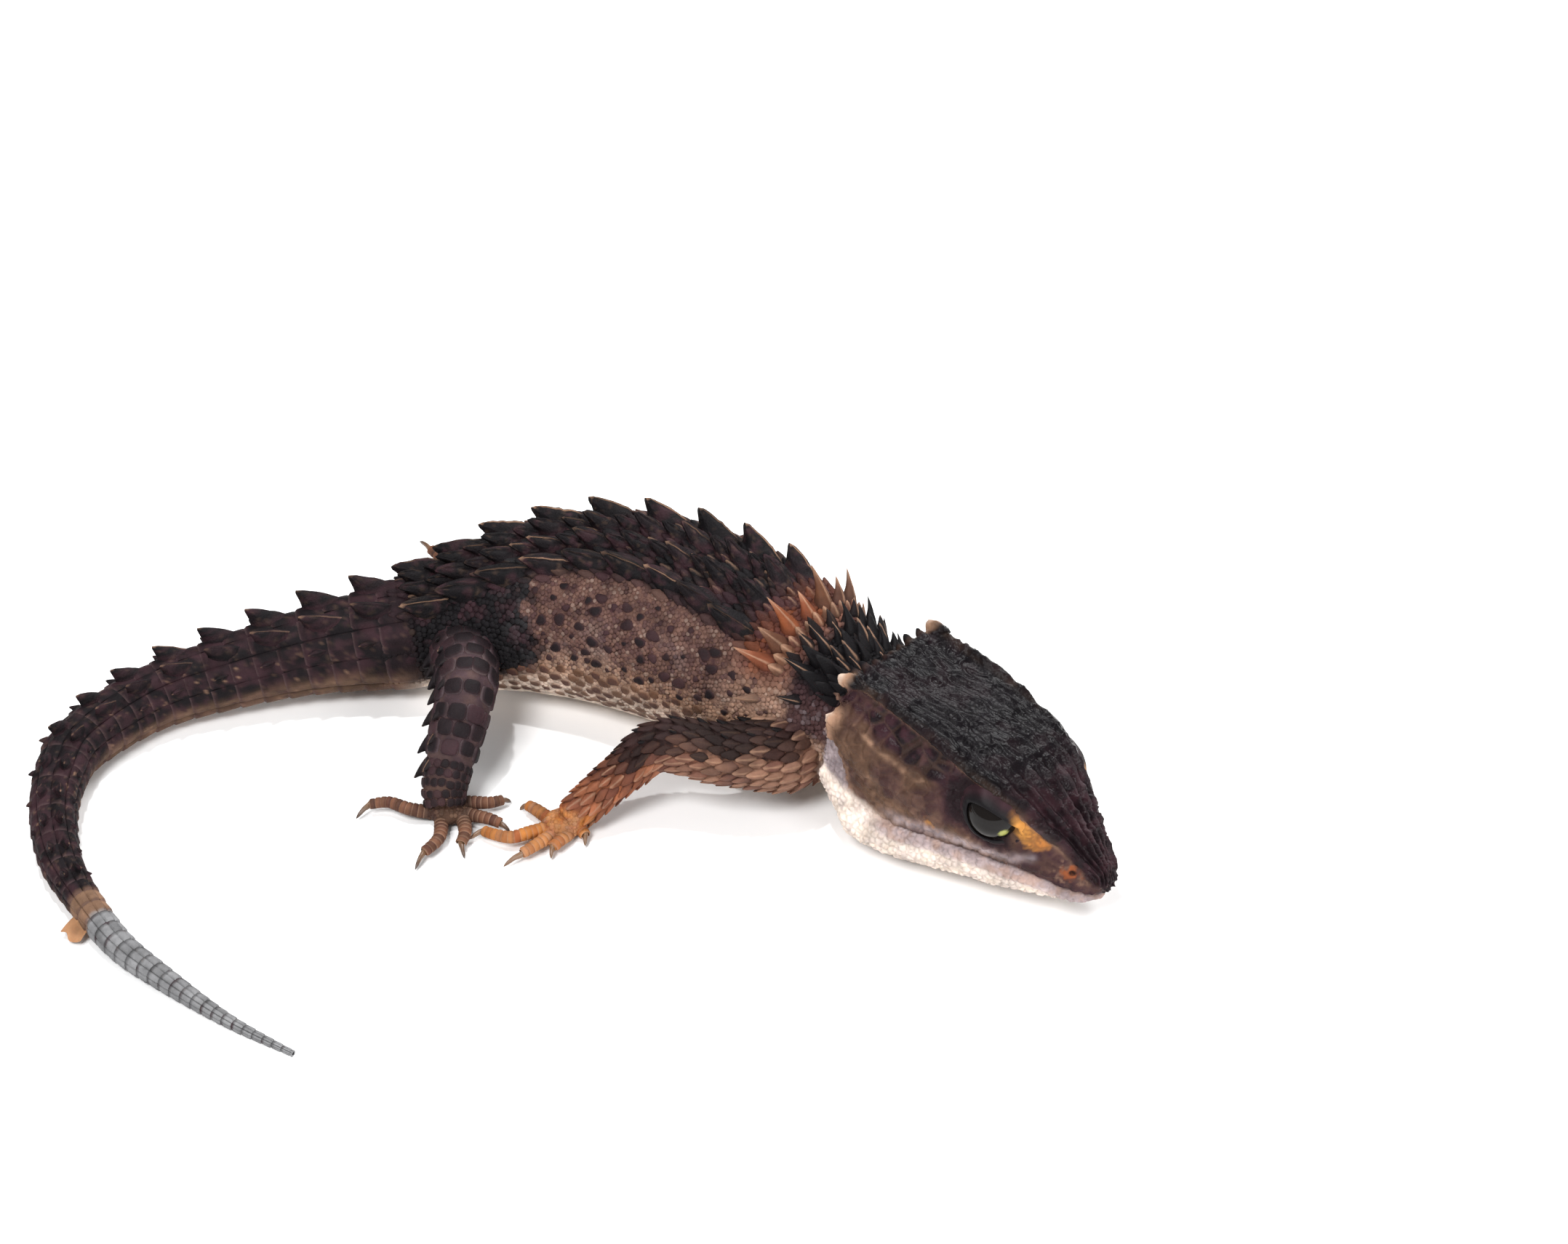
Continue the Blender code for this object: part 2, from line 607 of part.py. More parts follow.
def jaw_section(share, head):
    """A ring round the lower jaw and the throat, from the mouth down to the chin."""
    _, _, _, _, lip, _, _, lip_wide, jaw_wide, chin = smooth_profile(HEAD_STATIONS, share)
    top = lip - MOUTH_GAPE
    deep = top - chin
    half = [
        (0.0, top),
        (lip_wide - 0.5, top),
        (lip_wide - 0.08, top - 0.2),
        (jaw_wide, top - deep * 0.4),
        (jaw_wide * 0.93, top - deep * 0.66),
        (jaw_wide * 0.7, top - deep * 0.88),
        (jaw_wide * 0.36, top - deep * 0.985),
        (0.0, chin),
    ]
    forward = share * HEAD_LENGTH
    return [head @ Vector((forward, across, rise)) for across, rise in mirror_across(half)]


def on_side(place, side):
    return Vector((place[0], side * place[1], place[2]))


def build_head(head, collection):
    """The helmet with its hind spikes, brow ridges, lids, eye sockets and nostrils."""
    skull = loft("head", [skull_section(share, head) for share in HEAD_SHARES], collection)
    forward, left, up = head_directions(head)
    pieces = []
    for along, across, rise, tall in HELMET_SPIKES:
        for side in (-1, 1):
            sizes = {"long": 1.3, "wide": 1.9, "tall": tall, "lean": 0.0, "waist": 0.6}
            outward = (-forward + left * side * 0.22 + up * 0.22).normalized()
            pieces.append(thorn(head @ on_side((along, across, rise), side), up, outward,
                                sizes, collection, 1.0, 1.4))
    for side in (-1, 1):
        pieces.append(lid_ring(side, head, collection))
    combine(skull, pieces, "UNION")
    cutters = []
    for side in (-1, 1):
        cutters.append(ball(head @ on_side(EYE_AT, side), (EYE_RADIUS + GAP,) * 3,
                            Matrix.Identity(3), collection, 20, 12))
        cutters.append(ball(head @ on_side(NOSTRIL_AT, side), (NOSTRIL_RADIUS,) * 3,
                            Matrix.Identity(3), collection, 8, 6))
    return combine(skull, cutters, "DIFFERENCE")


def lid_ring(side, head, collection):
    """The rim of the lids, an oval ring that stands round the eye and covers its edge."""
    forward, left, up = head_directions(head)
    outward = (left * side * math.cos(EYE_TURN) + forward * math.sin(EYE_TURN)).normalized()
    ahead = (forward - outward * forward.dot(outward)).normalized()
    middle = head @ on_side(EYE_AT, side) + outward * LID_REACH
    bm = bmesh.new()
    steps, sides = 18, 6
    loops = []
    for k in range(steps):
        angle = math.tau * k / steps
        radial = ahead * math.cos(angle) * LID_RING[0] + up * math.sin(angle) * LID_RING[1]
        loop = []
        for j in range(sides):
            turn = math.tau * j / sides
            loop.append(bm.verts.new(
                (middle + radial + radial.normalized() * math.cos(turn) * LID_THICK
                 + outward * math.sin(turn) * LID_THICK * 1.3) * MM))
        loops.append(loop)
    for k in range(steps):
        here, there = loops[k], loops[(k + 1) % steps]
        for j in range(sides):
            after = (j + 1) % sides
            bm.faces.new((here[j], here[after], there[after], there[j]))
    return add_object("lids", bm, collection)


def build_jaw(head, collection):
    """The lower jaw and the throat, with the pits of the ears at its hind corners."""
    jaw = loft("jaw", [jaw_section(share, head) for share in HEAD_SHARES], collection)
    pits = [ball(head @ on_side(EAR_AT, side), (EAR_RADIUS,) * 3, Matrix.Identity(3),
                 collection, 8, 6) for side in (-1, 1)]
    return combine(jaw, pits, "DIFFERENCE")


def build_eye(name, side, head, collection):
    eye = ball(head @ on_side(EYE_AT, side), (EYE_RADIUS,) * 3, Matrix.Identity(3),
               collection, 16, 10)
    eye.name = name
    return eye


def leg_line(sizes):
    """The line of a leg from its joint in the body to the palm."""
    joints = sizes["joints"]
    swing = Vector(joints[-1][:3]) - Vector(joints[0][:3])
    return Line([(x, y, z, r, r) for x, y, z, r in joints], side=UP.cross(swing).normalized())


def leg_core(name, line, start, end, collection):
    """A plain length of a leg, run on a little past both of its ends."""
    start, end = max(start - 0.6, 0.0), min(end + 0.6, line.along[-1])
    count = max(3, round((end - start) / 1.8))
    rings = [line.ring(start + (end - start) * k / count, LEG_SIDES) for k in range(count + 1)]
    return loft(name, rings, collection)


def part_leg(obj, line, distance, side):
    """Cuts a length of a leg square to its line, half a gap short of the parting."""
    middle, forward, _, _, _, _ = line.frame(distance)
    return slice_off(obj, middle + forward * side * -GAP / 2, forward * side)


def leg_length(name, line, start, end, sizes, rng, collection):
    """One length of a leg, with pointed scales along its spiny edge."""
    core = leg_core(name, line, start, end, collection)
    pieces = []
    number = max(1, int((end - start - 0.8) / LEG_PITCH))
    edge, size = sizes["spiny_edge"], sizes["spines"]
    for degrees, share in ((edge, 1.15), (edge - 42.0, 0.75), (edge + 42.0, 0.75)):
        for k in range(number):
            at = start + (end - start) * (k + 0.45) / number
            _, forward, _, _, wide, _ = line.frame(at)
            scale = share * size * (0.35 + 0.25 * wide) * rng.uniform(0.93, 1.05)
            pieces.append(thorn(line.skin(at, degrees), forward, line.outward(at, degrees),
                                LEG_SPINE, collection, scale, 0.6))
    return combine(core, pieces, "UNION")


def toe(points, palm, collection):
    """One toe, arched over its knuckle, and its claw bent down to the floor."""
    hidden_root = palm.lerp(Vector(points[0]), 0.45)
    line = catmull_rom([hidden_root] + [Vector(point) for point in points[:-1]], 3)
    path = [Vector(point) for point in line]
    radii = [TOE_RADIUS[0] + (TOE_RADIUS[1] - TOE_RADIUS[0]) * k / (len(path) - 1)
             for k in range(len(path))]
    root, tip = path[-1], Vector(points[-1])
    reach = tip - root
    claw = [root - reach.normalized() * 0.45, root + reach * 0.35 + UP * 0.14,
            root + reach * 0.75 + UP * 0.1, tip]
    claw_radii = [CLAW_RADIUS * share for share in (1.0, 0.95, 0.62, 0.2)]
    return [tube(path, radii, TOE_SIDES, collection), tube(claw, claw_radii, 6, collection)]


def foot(name, line, start, sizes, collection):
    """The end of the leg, the palm and five clawed toes, as one piece."""
    core = leg_core(name, line, start, line.along[-1], collection)
    x, y = sizes["palm"]
    palm = Vector((x, y, 0.95))
    ahead = Vector(sizes["toes"][2][-1][:2]) - Vector((x, y))
    heading = Matrix.Rotation(math.atan2(ahead.y, ahead.x), 3, "Z")
    pieces = [ball(palm, PALM_SIZE, heading, collection)]
    for points in sizes["toes"]:
        pieces += toe(points, palm, collection)
    return combine(core, pieces, "UNION")


def build_leg(name, sizes, trunk, rng, collection):
    """Upper leg, lower leg and foot; the upper leg is cut to the side of the body."""
    line = leg_line(sizes)
    knee = line.along[sizes["knee"] * LINE_STEPS]
    ankle = line.along[(len(sizes["joints"]) - 2) * LINE_STEPS]
    upper = leg_length(name + "_upper", line, 0.0, knee, sizes, rng, collection)
    part_leg(upper, line, knee, 1)
    lower = leg_length(name + "_lower", line, knee, ankle, sizes, rng, collection)
    part_leg(lower, line, knee, -1)
    part_leg(lower, line, ankle, 1)
    end = foot(name + "_foot", line, ankle, sizes, collection)
    part_leg(end, line, ankle, -1)
    cut_by(upper, trunk)
    cut_by(lower, trunk)
    return [(upper, "charcoal_scales"), (lower, "charcoal_scales"), (end, "rust_feet")]


def trunk_cutter(body, collection):
    """The trunk grown by the gap, which shapes the roots of the legs."""
    start, end = -12.0, NECK_LENGTH
    count = 44
    rings = [body.ring(start + (end - start) * k / count, TRUNK_SIDES * 2, GAP * 1.25)
             for k in range(count + 1)]
    hull = loft("trunk_cutter", rings, collection)
    hull.hide_render = True
    hull.display_type = "WIRE"
    return hull


def main():
    for obj in list(bpy.data.objects):
        bpy.data.objects.remove(obj)
    skink = bpy.data.collections.new("helmeted_skink")
    helpers = bpy.data.collections.new("cutters")
    bpy.context.scene.collection.children.link(skink)
    bpy.context.scene.collection.children.link(helpers)
    rng = random.Random(7)

    tip = -Line(TAIL_LINE + TRUNK_LINE).along[len(TAIL_LINE) * LINE_STEPS]
    body = Line(TAIL_LINE + TRUNK_LINE, start=tip, squareness=BODY_SQUARENESS)
    head = head_matrix()
    edges = whorl_edges(tip)
    print("tail", round(-tip, 1), "whorls", len(edges) - 1, "line", round(body.along[-1], 1))

    made = []
    for name in TAIL_PARTS:
        skin = "grey_tail" if name == "tail_tip" else "charcoal_scales"
        made.append((tail_length(name, body, edges, skink), skin))
    for name in TRUNK_PARTS:
        made.append((trunk_length(name, body, rng, skink), "spotted_flank"))
    made.append((neck_length(body, head, rng, skink), "charcoal_scales"))
    made.append((build_head(head, skink), "helmet"))
    made.append((build_jaw(head, skink), "pale_jaw"))
    made.append((build_eye("eye_left", 1, head, skink), "eye"))
    made.append((build_eye("eye_right", -1, head, skink), "eye"))
    trunk = trunk_cutter(body, helpers)
    for name, sizes in LEGS.items():
        made += build_leg(name, sizes, trunk, rng, skink)
    for obj, skin in made:
        finish_node(obj, skin)
        print(obj.name, len(obj.data.polygons), "faces")


main()
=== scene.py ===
# %% [markdown]
# # A helmeted skink at life size
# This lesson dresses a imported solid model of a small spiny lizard. The solids give the pose and
# the outline, and everything here gives the surface: one seamless skin, keeled shields and
# spines on the back, rings of scutes round the tail, keeled scales on the legs, a wrinkled bony
# helmet, eyes and claws. All sizes are in millimetres and are turned into metres at the end.

# %% The frame and its box
import itertools
import math

import bmesh
import bpy
import numpy as np
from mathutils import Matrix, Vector
from mathutils.bvhtree import BVHTree


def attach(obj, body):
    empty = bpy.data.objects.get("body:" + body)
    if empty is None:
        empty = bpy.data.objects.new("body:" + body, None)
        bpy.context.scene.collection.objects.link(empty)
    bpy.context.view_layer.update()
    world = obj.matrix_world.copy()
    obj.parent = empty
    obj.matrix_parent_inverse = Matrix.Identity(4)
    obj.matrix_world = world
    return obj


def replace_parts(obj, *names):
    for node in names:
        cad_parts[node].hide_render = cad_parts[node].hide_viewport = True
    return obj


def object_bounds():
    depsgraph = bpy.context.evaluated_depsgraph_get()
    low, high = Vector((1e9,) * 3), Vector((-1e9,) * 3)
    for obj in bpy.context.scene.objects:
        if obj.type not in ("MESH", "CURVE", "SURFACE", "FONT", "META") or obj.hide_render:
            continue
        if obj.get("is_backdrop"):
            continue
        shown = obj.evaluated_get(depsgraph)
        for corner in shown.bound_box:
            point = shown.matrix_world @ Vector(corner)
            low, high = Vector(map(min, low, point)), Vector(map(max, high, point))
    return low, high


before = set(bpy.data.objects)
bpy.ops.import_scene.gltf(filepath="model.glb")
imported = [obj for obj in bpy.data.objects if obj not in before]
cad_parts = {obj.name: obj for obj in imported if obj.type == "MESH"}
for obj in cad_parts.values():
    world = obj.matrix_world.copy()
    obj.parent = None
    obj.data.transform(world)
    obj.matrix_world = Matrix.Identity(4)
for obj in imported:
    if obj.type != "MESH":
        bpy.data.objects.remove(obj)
cad_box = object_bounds()
MM = 0.001
print("nodes in the frame:", len(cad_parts))

# %% [markdown]
# ## Small helpers for arrays of points
# A lizard has thousands of scales, so each step works on whole arrays of points. Smooth noise
# could come from a texture, but here it also has to move points, so it is written out: random
# values at whole numbers, eased between them.

# %% Helpers for arrays


def unit(vectors):
    """The same directions, each one unit long."""
    return vectors / np.maximum(np.linalg.norm(vectors, axis=-1, keepdims=True), 1e-9)


def ease(low, high, value):
    """0 below low, 1 above high, and a smooth step between; low may be the larger one."""
    share = np.clip((value - low) / (high - low), 0.0, 1.0)
    return share * share * (3.0 - 2.0 * share)


HASH_FACTORS = np.array([73856093, 19349663, 83492791])


def drawn(place, seed):
    """A number from 0 to 1 for each whole place: it looks random and is always the same."""
    key = place @ HASH_FACTORS + seed * 7919
    for shift, factor in ((13, 1274126177), (15, 668265263)):
        key = (key ^ (key >> shift)) * factor & 0xFFFFFFFF
    return ((key >> 8) & 0xFFFF) / 65535.0


def noise(points, seed=0):
    """Smooth noise from 0 to 1 at each point, one random value to a whole number."""
    cell = np.floor(points).astype(np.int64)
    part = points - cell
    part = part * part * (3.0 - 2.0 * part)
    total = np.zeros(len(points))
    for corner in itertools.product((0, 1), repeat=3):
        weight = np.prod(np.where(np.array(corner) == 1, part, 1.0 - part), axis=1)
        total += weight * drawn(cell + corner, seed)
    return total


def mottle(points, seed=0):
    """Two sizes of smooth noise, turned against each other so that no grid shows."""
    turned = points @ np.array([[0.64, 0.6, -0.48], [-0.77, 0.5, -0.4], [0.0, 0.62, 0.78]])
    return 0.62 * noise(turned, seed) + 0.38 * noise(points * 2.1 + 5.3, seed + 500)


def wrinkle(points, seed=0):
    """Noise with sharp crests, for wrinkles: 1 on a crest and 0 in the hollows."""
    return 1.0 - np.abs(2.0 * noise(points, seed) - 1.0)


def cells(points, seed=0, loose=0.8):
    """Irregular cells about one unit wide: how deep inside its cell each point lies, and a
    random number from 0 to 1 for the cell."""
    home = np.floor(points).astype(np.int64)
    nearest, second = np.full(len(points), 9.0), np.full(len(points), 9.0)
    number = np.zeros(len(points))
    for step in itertools.product((-1, 0, 1), repeat=3):
        cell = home + step
        numbers = [drawn(cell, seed * 3 + axis) for axis in range(3)]
        middle = cell + 0.5 + loose * (np.column_stack(numbers) - 0.5)
        gap = np.linalg.norm(points - middle, axis=1)
        closer = gap < nearest
        second = np.where(closer, nearest, np.minimum(second, gap))
        nearest = np.where(closer, gap, nearest)
        number = np.where(closer, numbers[0], number)
    return (second - nearest) / 2, number


def line_distance(points, path):
    """How far each point is from a line of straight runs, and how far along that line."""
    best = np.full(len(points), 1e9)
    along = np.zeros(len(points))
    start = 0.0
    for a, b in zip(path, path[1:]):
        run = b - a
        length = np.linalg.norm(run)
        share = np.clip((points - a) @ run / length ** 2, 0.0, 1.0)
        away = np.linalg.norm(points - a - share[:, None] * run, axis=1)
        nearer = away < best
        best[nearer] = away[nearer]
        along[nearer] = start + share[nearer] * length
        start += length
    return best, along


# %% [markdown]
# ## The body's line
# The trunk and the tail are one smooth line with a half width and a half height at each
# station, the same stations that the solids were made from. A point of the skin is then given
# by how far along it lies and by its angle from the top, which is also how scales are placed.

# %% Lines with a cross-section


def smooth_rows(rows, steps):
    """Rows between the given ones, on a smooth curve through all of them."""
    rows = np.array(rows, float)
    padded = np.vstack([rows[:1], rows, rows[-1:]])
    found = []
    for a, b, c, d in zip(padded, padded[1:], padded[2:], padded[3:]):
        for t in np.arange(steps) / steps:
            found.append(0.5 * (2 * b + (c - a) * t + (2 * a - 5 * b + 4 * c - d) * t * t
                                + (3 * b - a - 3 * c + d) * t ** 3))
    found.append(rows[-1])
    return np.array(found)


class Line:
    """A smooth line through stations, read by the distance along it."""

    def __init__(self, stations, start=0.0, side=None, squareness=2.0, steps=12):
        self.rows = smooth_rows(stations, steps)
        lengths = np.linalg.norm(np.diff(self.rows[:, :3], axis=0), axis=1)
        self.along = start + np.concatenate([[0.0], np.cumsum(lengths)])
        self.side = side
        self.power = 2.0 / squareness

    def row(self, distance):
        return np.stack([np.interp(distance, self.along, column) for column in self.rows.T], -1)

    def frame(self, distance):
        """The middle, the forward, left and up directions, and the two half sizes."""
        here = self.row(distance)
        forward = unit((self.row(distance + 1.0) - self.row(distance - 1.0))[..., :3])
        if self.side is None:
            left = unit(np.cross([0.0, 0.0, 1.0], forward))
        else:
            left = unit(self.side - forward * (forward @ self.side)[..., None])
        return here[..., :3], forward, left, np.cross(forward, left), here[..., 3], here[..., -1]

    def skin(self, distance, degrees, grow=0.0):
        """Points of the surface at an angle from the top, positive to the left."""
        middle, _, left, up, wide, high = self.frame(distance)
        angle = np.radians(degrees)
        across = np.sign(np.sin(angle)) * np.abs(np.sin(angle)) ** self.power
        rise = np.sign(np.cos(angle)) * np.abs(np.cos(angle)) ** self.power
        return (middle + left * (across * (wide + grow))[..., None]
                + up * (rise * (high + grow))[..., None])

    def nearest(self, points):
        """For each point: the distance along, the angle, and how far out it is in radii."""
        middles = self.rows[:, :3]
        best = np.empty(len(points), int)
        for start in range(0, len(points), 20000):
            block = points[start : start + 20000]
            gap = (middles ** 2).sum(1) - 2.0 * block @ middles.T
            best[start : start + 20000] = gap.argmin(1)
        distance = self.along[best]
        middle, forward, _, _, _, _ = self.frame(distance)
        distance = distance + np.einsum("ij,ij->i", points - middle, forward)
        distance = np.clip(distance, self.along[0], self.along[-1])
        middle, forward, left, up, wide, high = self.frame(distance)
        out = points - middle
        across, rise = np.einsum("ij,ij->i", out, left), np.einsum("ij,ij->i", out, up)
        square = 1.0 / self.power
        angle = np.degrees(np.arctan2(np.sign(across) * np.abs(across / wide) ** square,
                                      np.sign(rise) * np.abs(rise / high) ** square))
        reach = np.linalg.norm(self.skin(distance, angle) - middle, axis=1)
        return distance, angle, np.linalg.norm(out, axis=1) / reach


TAIL_LINE = [
    (-21.4, -35.5, 0.25, 0.2, 0.2), (-27.4, -31.8, 0.5, 0.52, 0.5),
    (-33.85, -26.85, 0.95, 0.98, 0.98), (-38.15, -22.95, 1.22, 1.24, 1.25),
    (-42.45, -16.9, 1.5, 1.52, 1.55), (-44.75, -12.7, 1.78, 1.8, 1.83),
    (-46.25, -7.2, 2.03, 2.05, 2.08), (-46.4, -2.1, 2.3, 2.3, 2.35),
    (-45.2, 2.4, 2.6, 2.5, 2.65), (-39.9, 8.2, 3.0, 2.8, 2.95),
    (-32.8, 11.3, 3.8, 3.2, 3.35), (-24.4, 13.6, 4.8, 3.9, 4.05),
]
TRUNK_LINE = [
    (-15.2, 15.0, 5.8, 5.1, 5.1), (-9.8, 16.0, 6.4, 6.6, 6.4), (-3.4, 16.5, 7.5, 8.3, 7.7),
    (3.4, 15.7, 8.3, 9.5, 8.6), (10.0, 13.1, 8.6, 9.8, 8.9), (16.2, 9.2, 8.5, 9.4, 8.6),
    (21.4, 5.0, 8.5, 8.3, 8.0), (25.6, 1.3, 8.6, 6.6, 6.7), (28.6, -1.3, 8.6, 6.0, 6.2),
    (32.0, -4.2, 8.3, 6.3, 6.3),
]
LINE_STEPS = 12
TAIL_LENGTH = Line(TAIL_LINE + TRUNK_LINE).along[len(TAIL_LINE) * LINE_STEPS]
body = Line(TAIL_LINE + TRUNK_LINE, start=-TAIL_LENGTH, squareness=2.2)
NAPE = body.along[-1]
print(f"tail {TAIL_LENGTH:.1f} mm, vent to nape {NAPE:.1f} mm")

# %% [markdown]
# ## The head's own frame
# The head is turned, lowered and tilted, so its forms are easier to name in a frame of its own:
# forward from the back of the helmet, to the left, and up. Stations give the height of the
# crown, the ridge, the cheek and the lip, and the half widths of ridge, cheek, lip and jaw.

# %% The head's frame and sections
HEAD_AT = np.array([28.5, -1.1, 11.5])
HEAD_YAW, HEAD_PITCH, HEAD_ROLL = np.radians([-41.3, -11.0, -7.0])
HEAD_LENGTH = 27.4
HEAD_STATIONS = [
    (0.00, 4.5, 4.9, 0.2, -1.2, 6.1, 7.6, 7.1, 6.6, -9.6),
    (0.10, 4.8, 5.1, 0.0, -3.0, 6.2, 8.0, 7.4, 7.4, -10.3),
    (0.20, 5.0, 5.2, -0.3, -5.3, 6.2, 8.1, 7.5, 8.2, -10.8),
    (0.35, 5.1, 5.1, -0.5, -4.9, 6.1, 7.9, 7.4, 7.9, -10.1),
    (0.48, 5.1, 4.9, -0.8, -3.8, 5.8, 7.3, 6.9, 7.1, -9.0),
    (0.60, 5.0, 4.8, -1.1, -3.0, 5.4, 6.6, 6.1, 6.2, -7.9),
    (0.70, 4.3, 3.7, -1.0, -2.8, 4.7, 5.7, 5.3, 5.3, -7.1),
    (0.80, 2.9, 2.0, -1.2, -2.9, 3.55, 4.5, 4.3, 4.2, -6.0),
    (0.90, 1.1, 0.4, -1.4, -3.0, 2.4, 3.2, 3.1, 3.0, -5.0),
    (0.97, -0.3, -0.8, -1.8, -3.0, 1.5, 2.0, 2.0, 1.9, -4.2),
    (1.00, -1.2, -1.4, -2.1, -2.9, 0.8, 1.1, 1.1, 1.0, -3.7),
]


def turn_about(axis, angle):
    """A rotation matrix about one of the three axes."""
    matrix = np.eye(3)
    first, second = [k for k in range(3) if k != axis]
    sign = -1.0 if axis == 1 else 1.0
    matrix[first, first] = matrix[second, second] = math.cos(angle)
    matrix[first, second] = -math.sin(angle) * sign
    matrix[second, first] = math.sin(angle) * sign
    return matrix


HEAD_TURN = turn_about(2, HEAD_YAW) @ turn_about(1, -HEAD_PITCH) @ turn_about(0, HEAD_ROLL)


def to_head(points):
    """Points in the head's own frame: forward, left, up."""
    return (points - HEAD_AT) @ HEAD_TURN


def from_head(points):
    return np.asarray(points) @ HEAD_TURN.T + HEAD_AT


def head_profile(share):
    """The head's heights and half widths at a share of its length, eased between stations."""
    rows = np.array(HEAD_STATIONS)
    k = int(np.clip(np.searchsorted(rows[:, 0], share) - 1, 0, len(rows) - 2))
    before, here = rows[max(k - 1, 0)], rows[k]
    there, after = rows[k + 1], rows[min(k + 2, len(rows) - 1)]
    step = there[0] - here[0]
    t = (share - here[0]) / step
    leave = (there - before) / (there[0] - before[0]) * step
    arrive = (after - here) / (after[0] - here[0]) * step
    return (here * (2 * t ** 3 - 3 * t * t + 1) + leave * (t ** 3 - 2 * t * t + t)
            + there * (3 * t * t - 2 * t ** 3) + arrive * (t ** 3 - t * t))


def head_ring(share, sides_between=4):
    """A ring round the head, from the crown over ridge, cheek and lips to the throat."""
    _, crown, ridge, cheek, lip, ridge_wide, cheek_wide, lip_wide, jaw_wide, chin = (
        head_profile(share))
    deep = lip - chin
    half = [
        (-ridge_wide * 0.3, crown), (0.0, crown), (ridge_wide * 0.5, crown),
        (ridge_wide * 0.86, ridge * 0.75 + crown * 0.25), (ridge_wide, ridge),
        (ridge_wide * 1.02, ridge - 0.7),
        (ridge_wide * 0.4 + cheek_wide * 0.58, ridge * 0.42 + cheek * 0.58),
        (cheek_wide, cheek), (cheek_wide * 0.5 + lip_wide * 0.5, cheek * 0.5 + lip * 0.5),
        (lip_wide - 0.1, lip + 0.7), (lip_wide, lip + 0.2), (lip_wide - 0.4, lip - 0.1),
        (lip_wide - 0.05, lip - 0.45), (jaw_wide, lip - deep * 0.4),
        (jaw_wide * 0.93, lip - deep * 0.66), (jaw_wide * 0.7, lip - deep * 0.88),
        (jaw_wide * 0.36, lip - deep * 0.985), (0.0, chin), (-jaw_wide * 0.36, chin),
    ]
    curve = smooth_rows(half, sides_between)[sides_between : -sides_between]
    other = curve[-2:0:-1] * [-1.0, 1.0]
    ring = np.vstack([curve, other])
    return np.column_stack([np.full(len(ring), share * HEAD_LENGTH), ring])


# %% [markdown]
# ## The rough body
# The skin could be sewn from separate grids, but then every armpit and knee would need its own
# seam. Here closed shapes simply pass through one another, trunk, head, legs, palms and toes,
# and a voxel remesh makes one seamless skin of them, as a sculptor would.

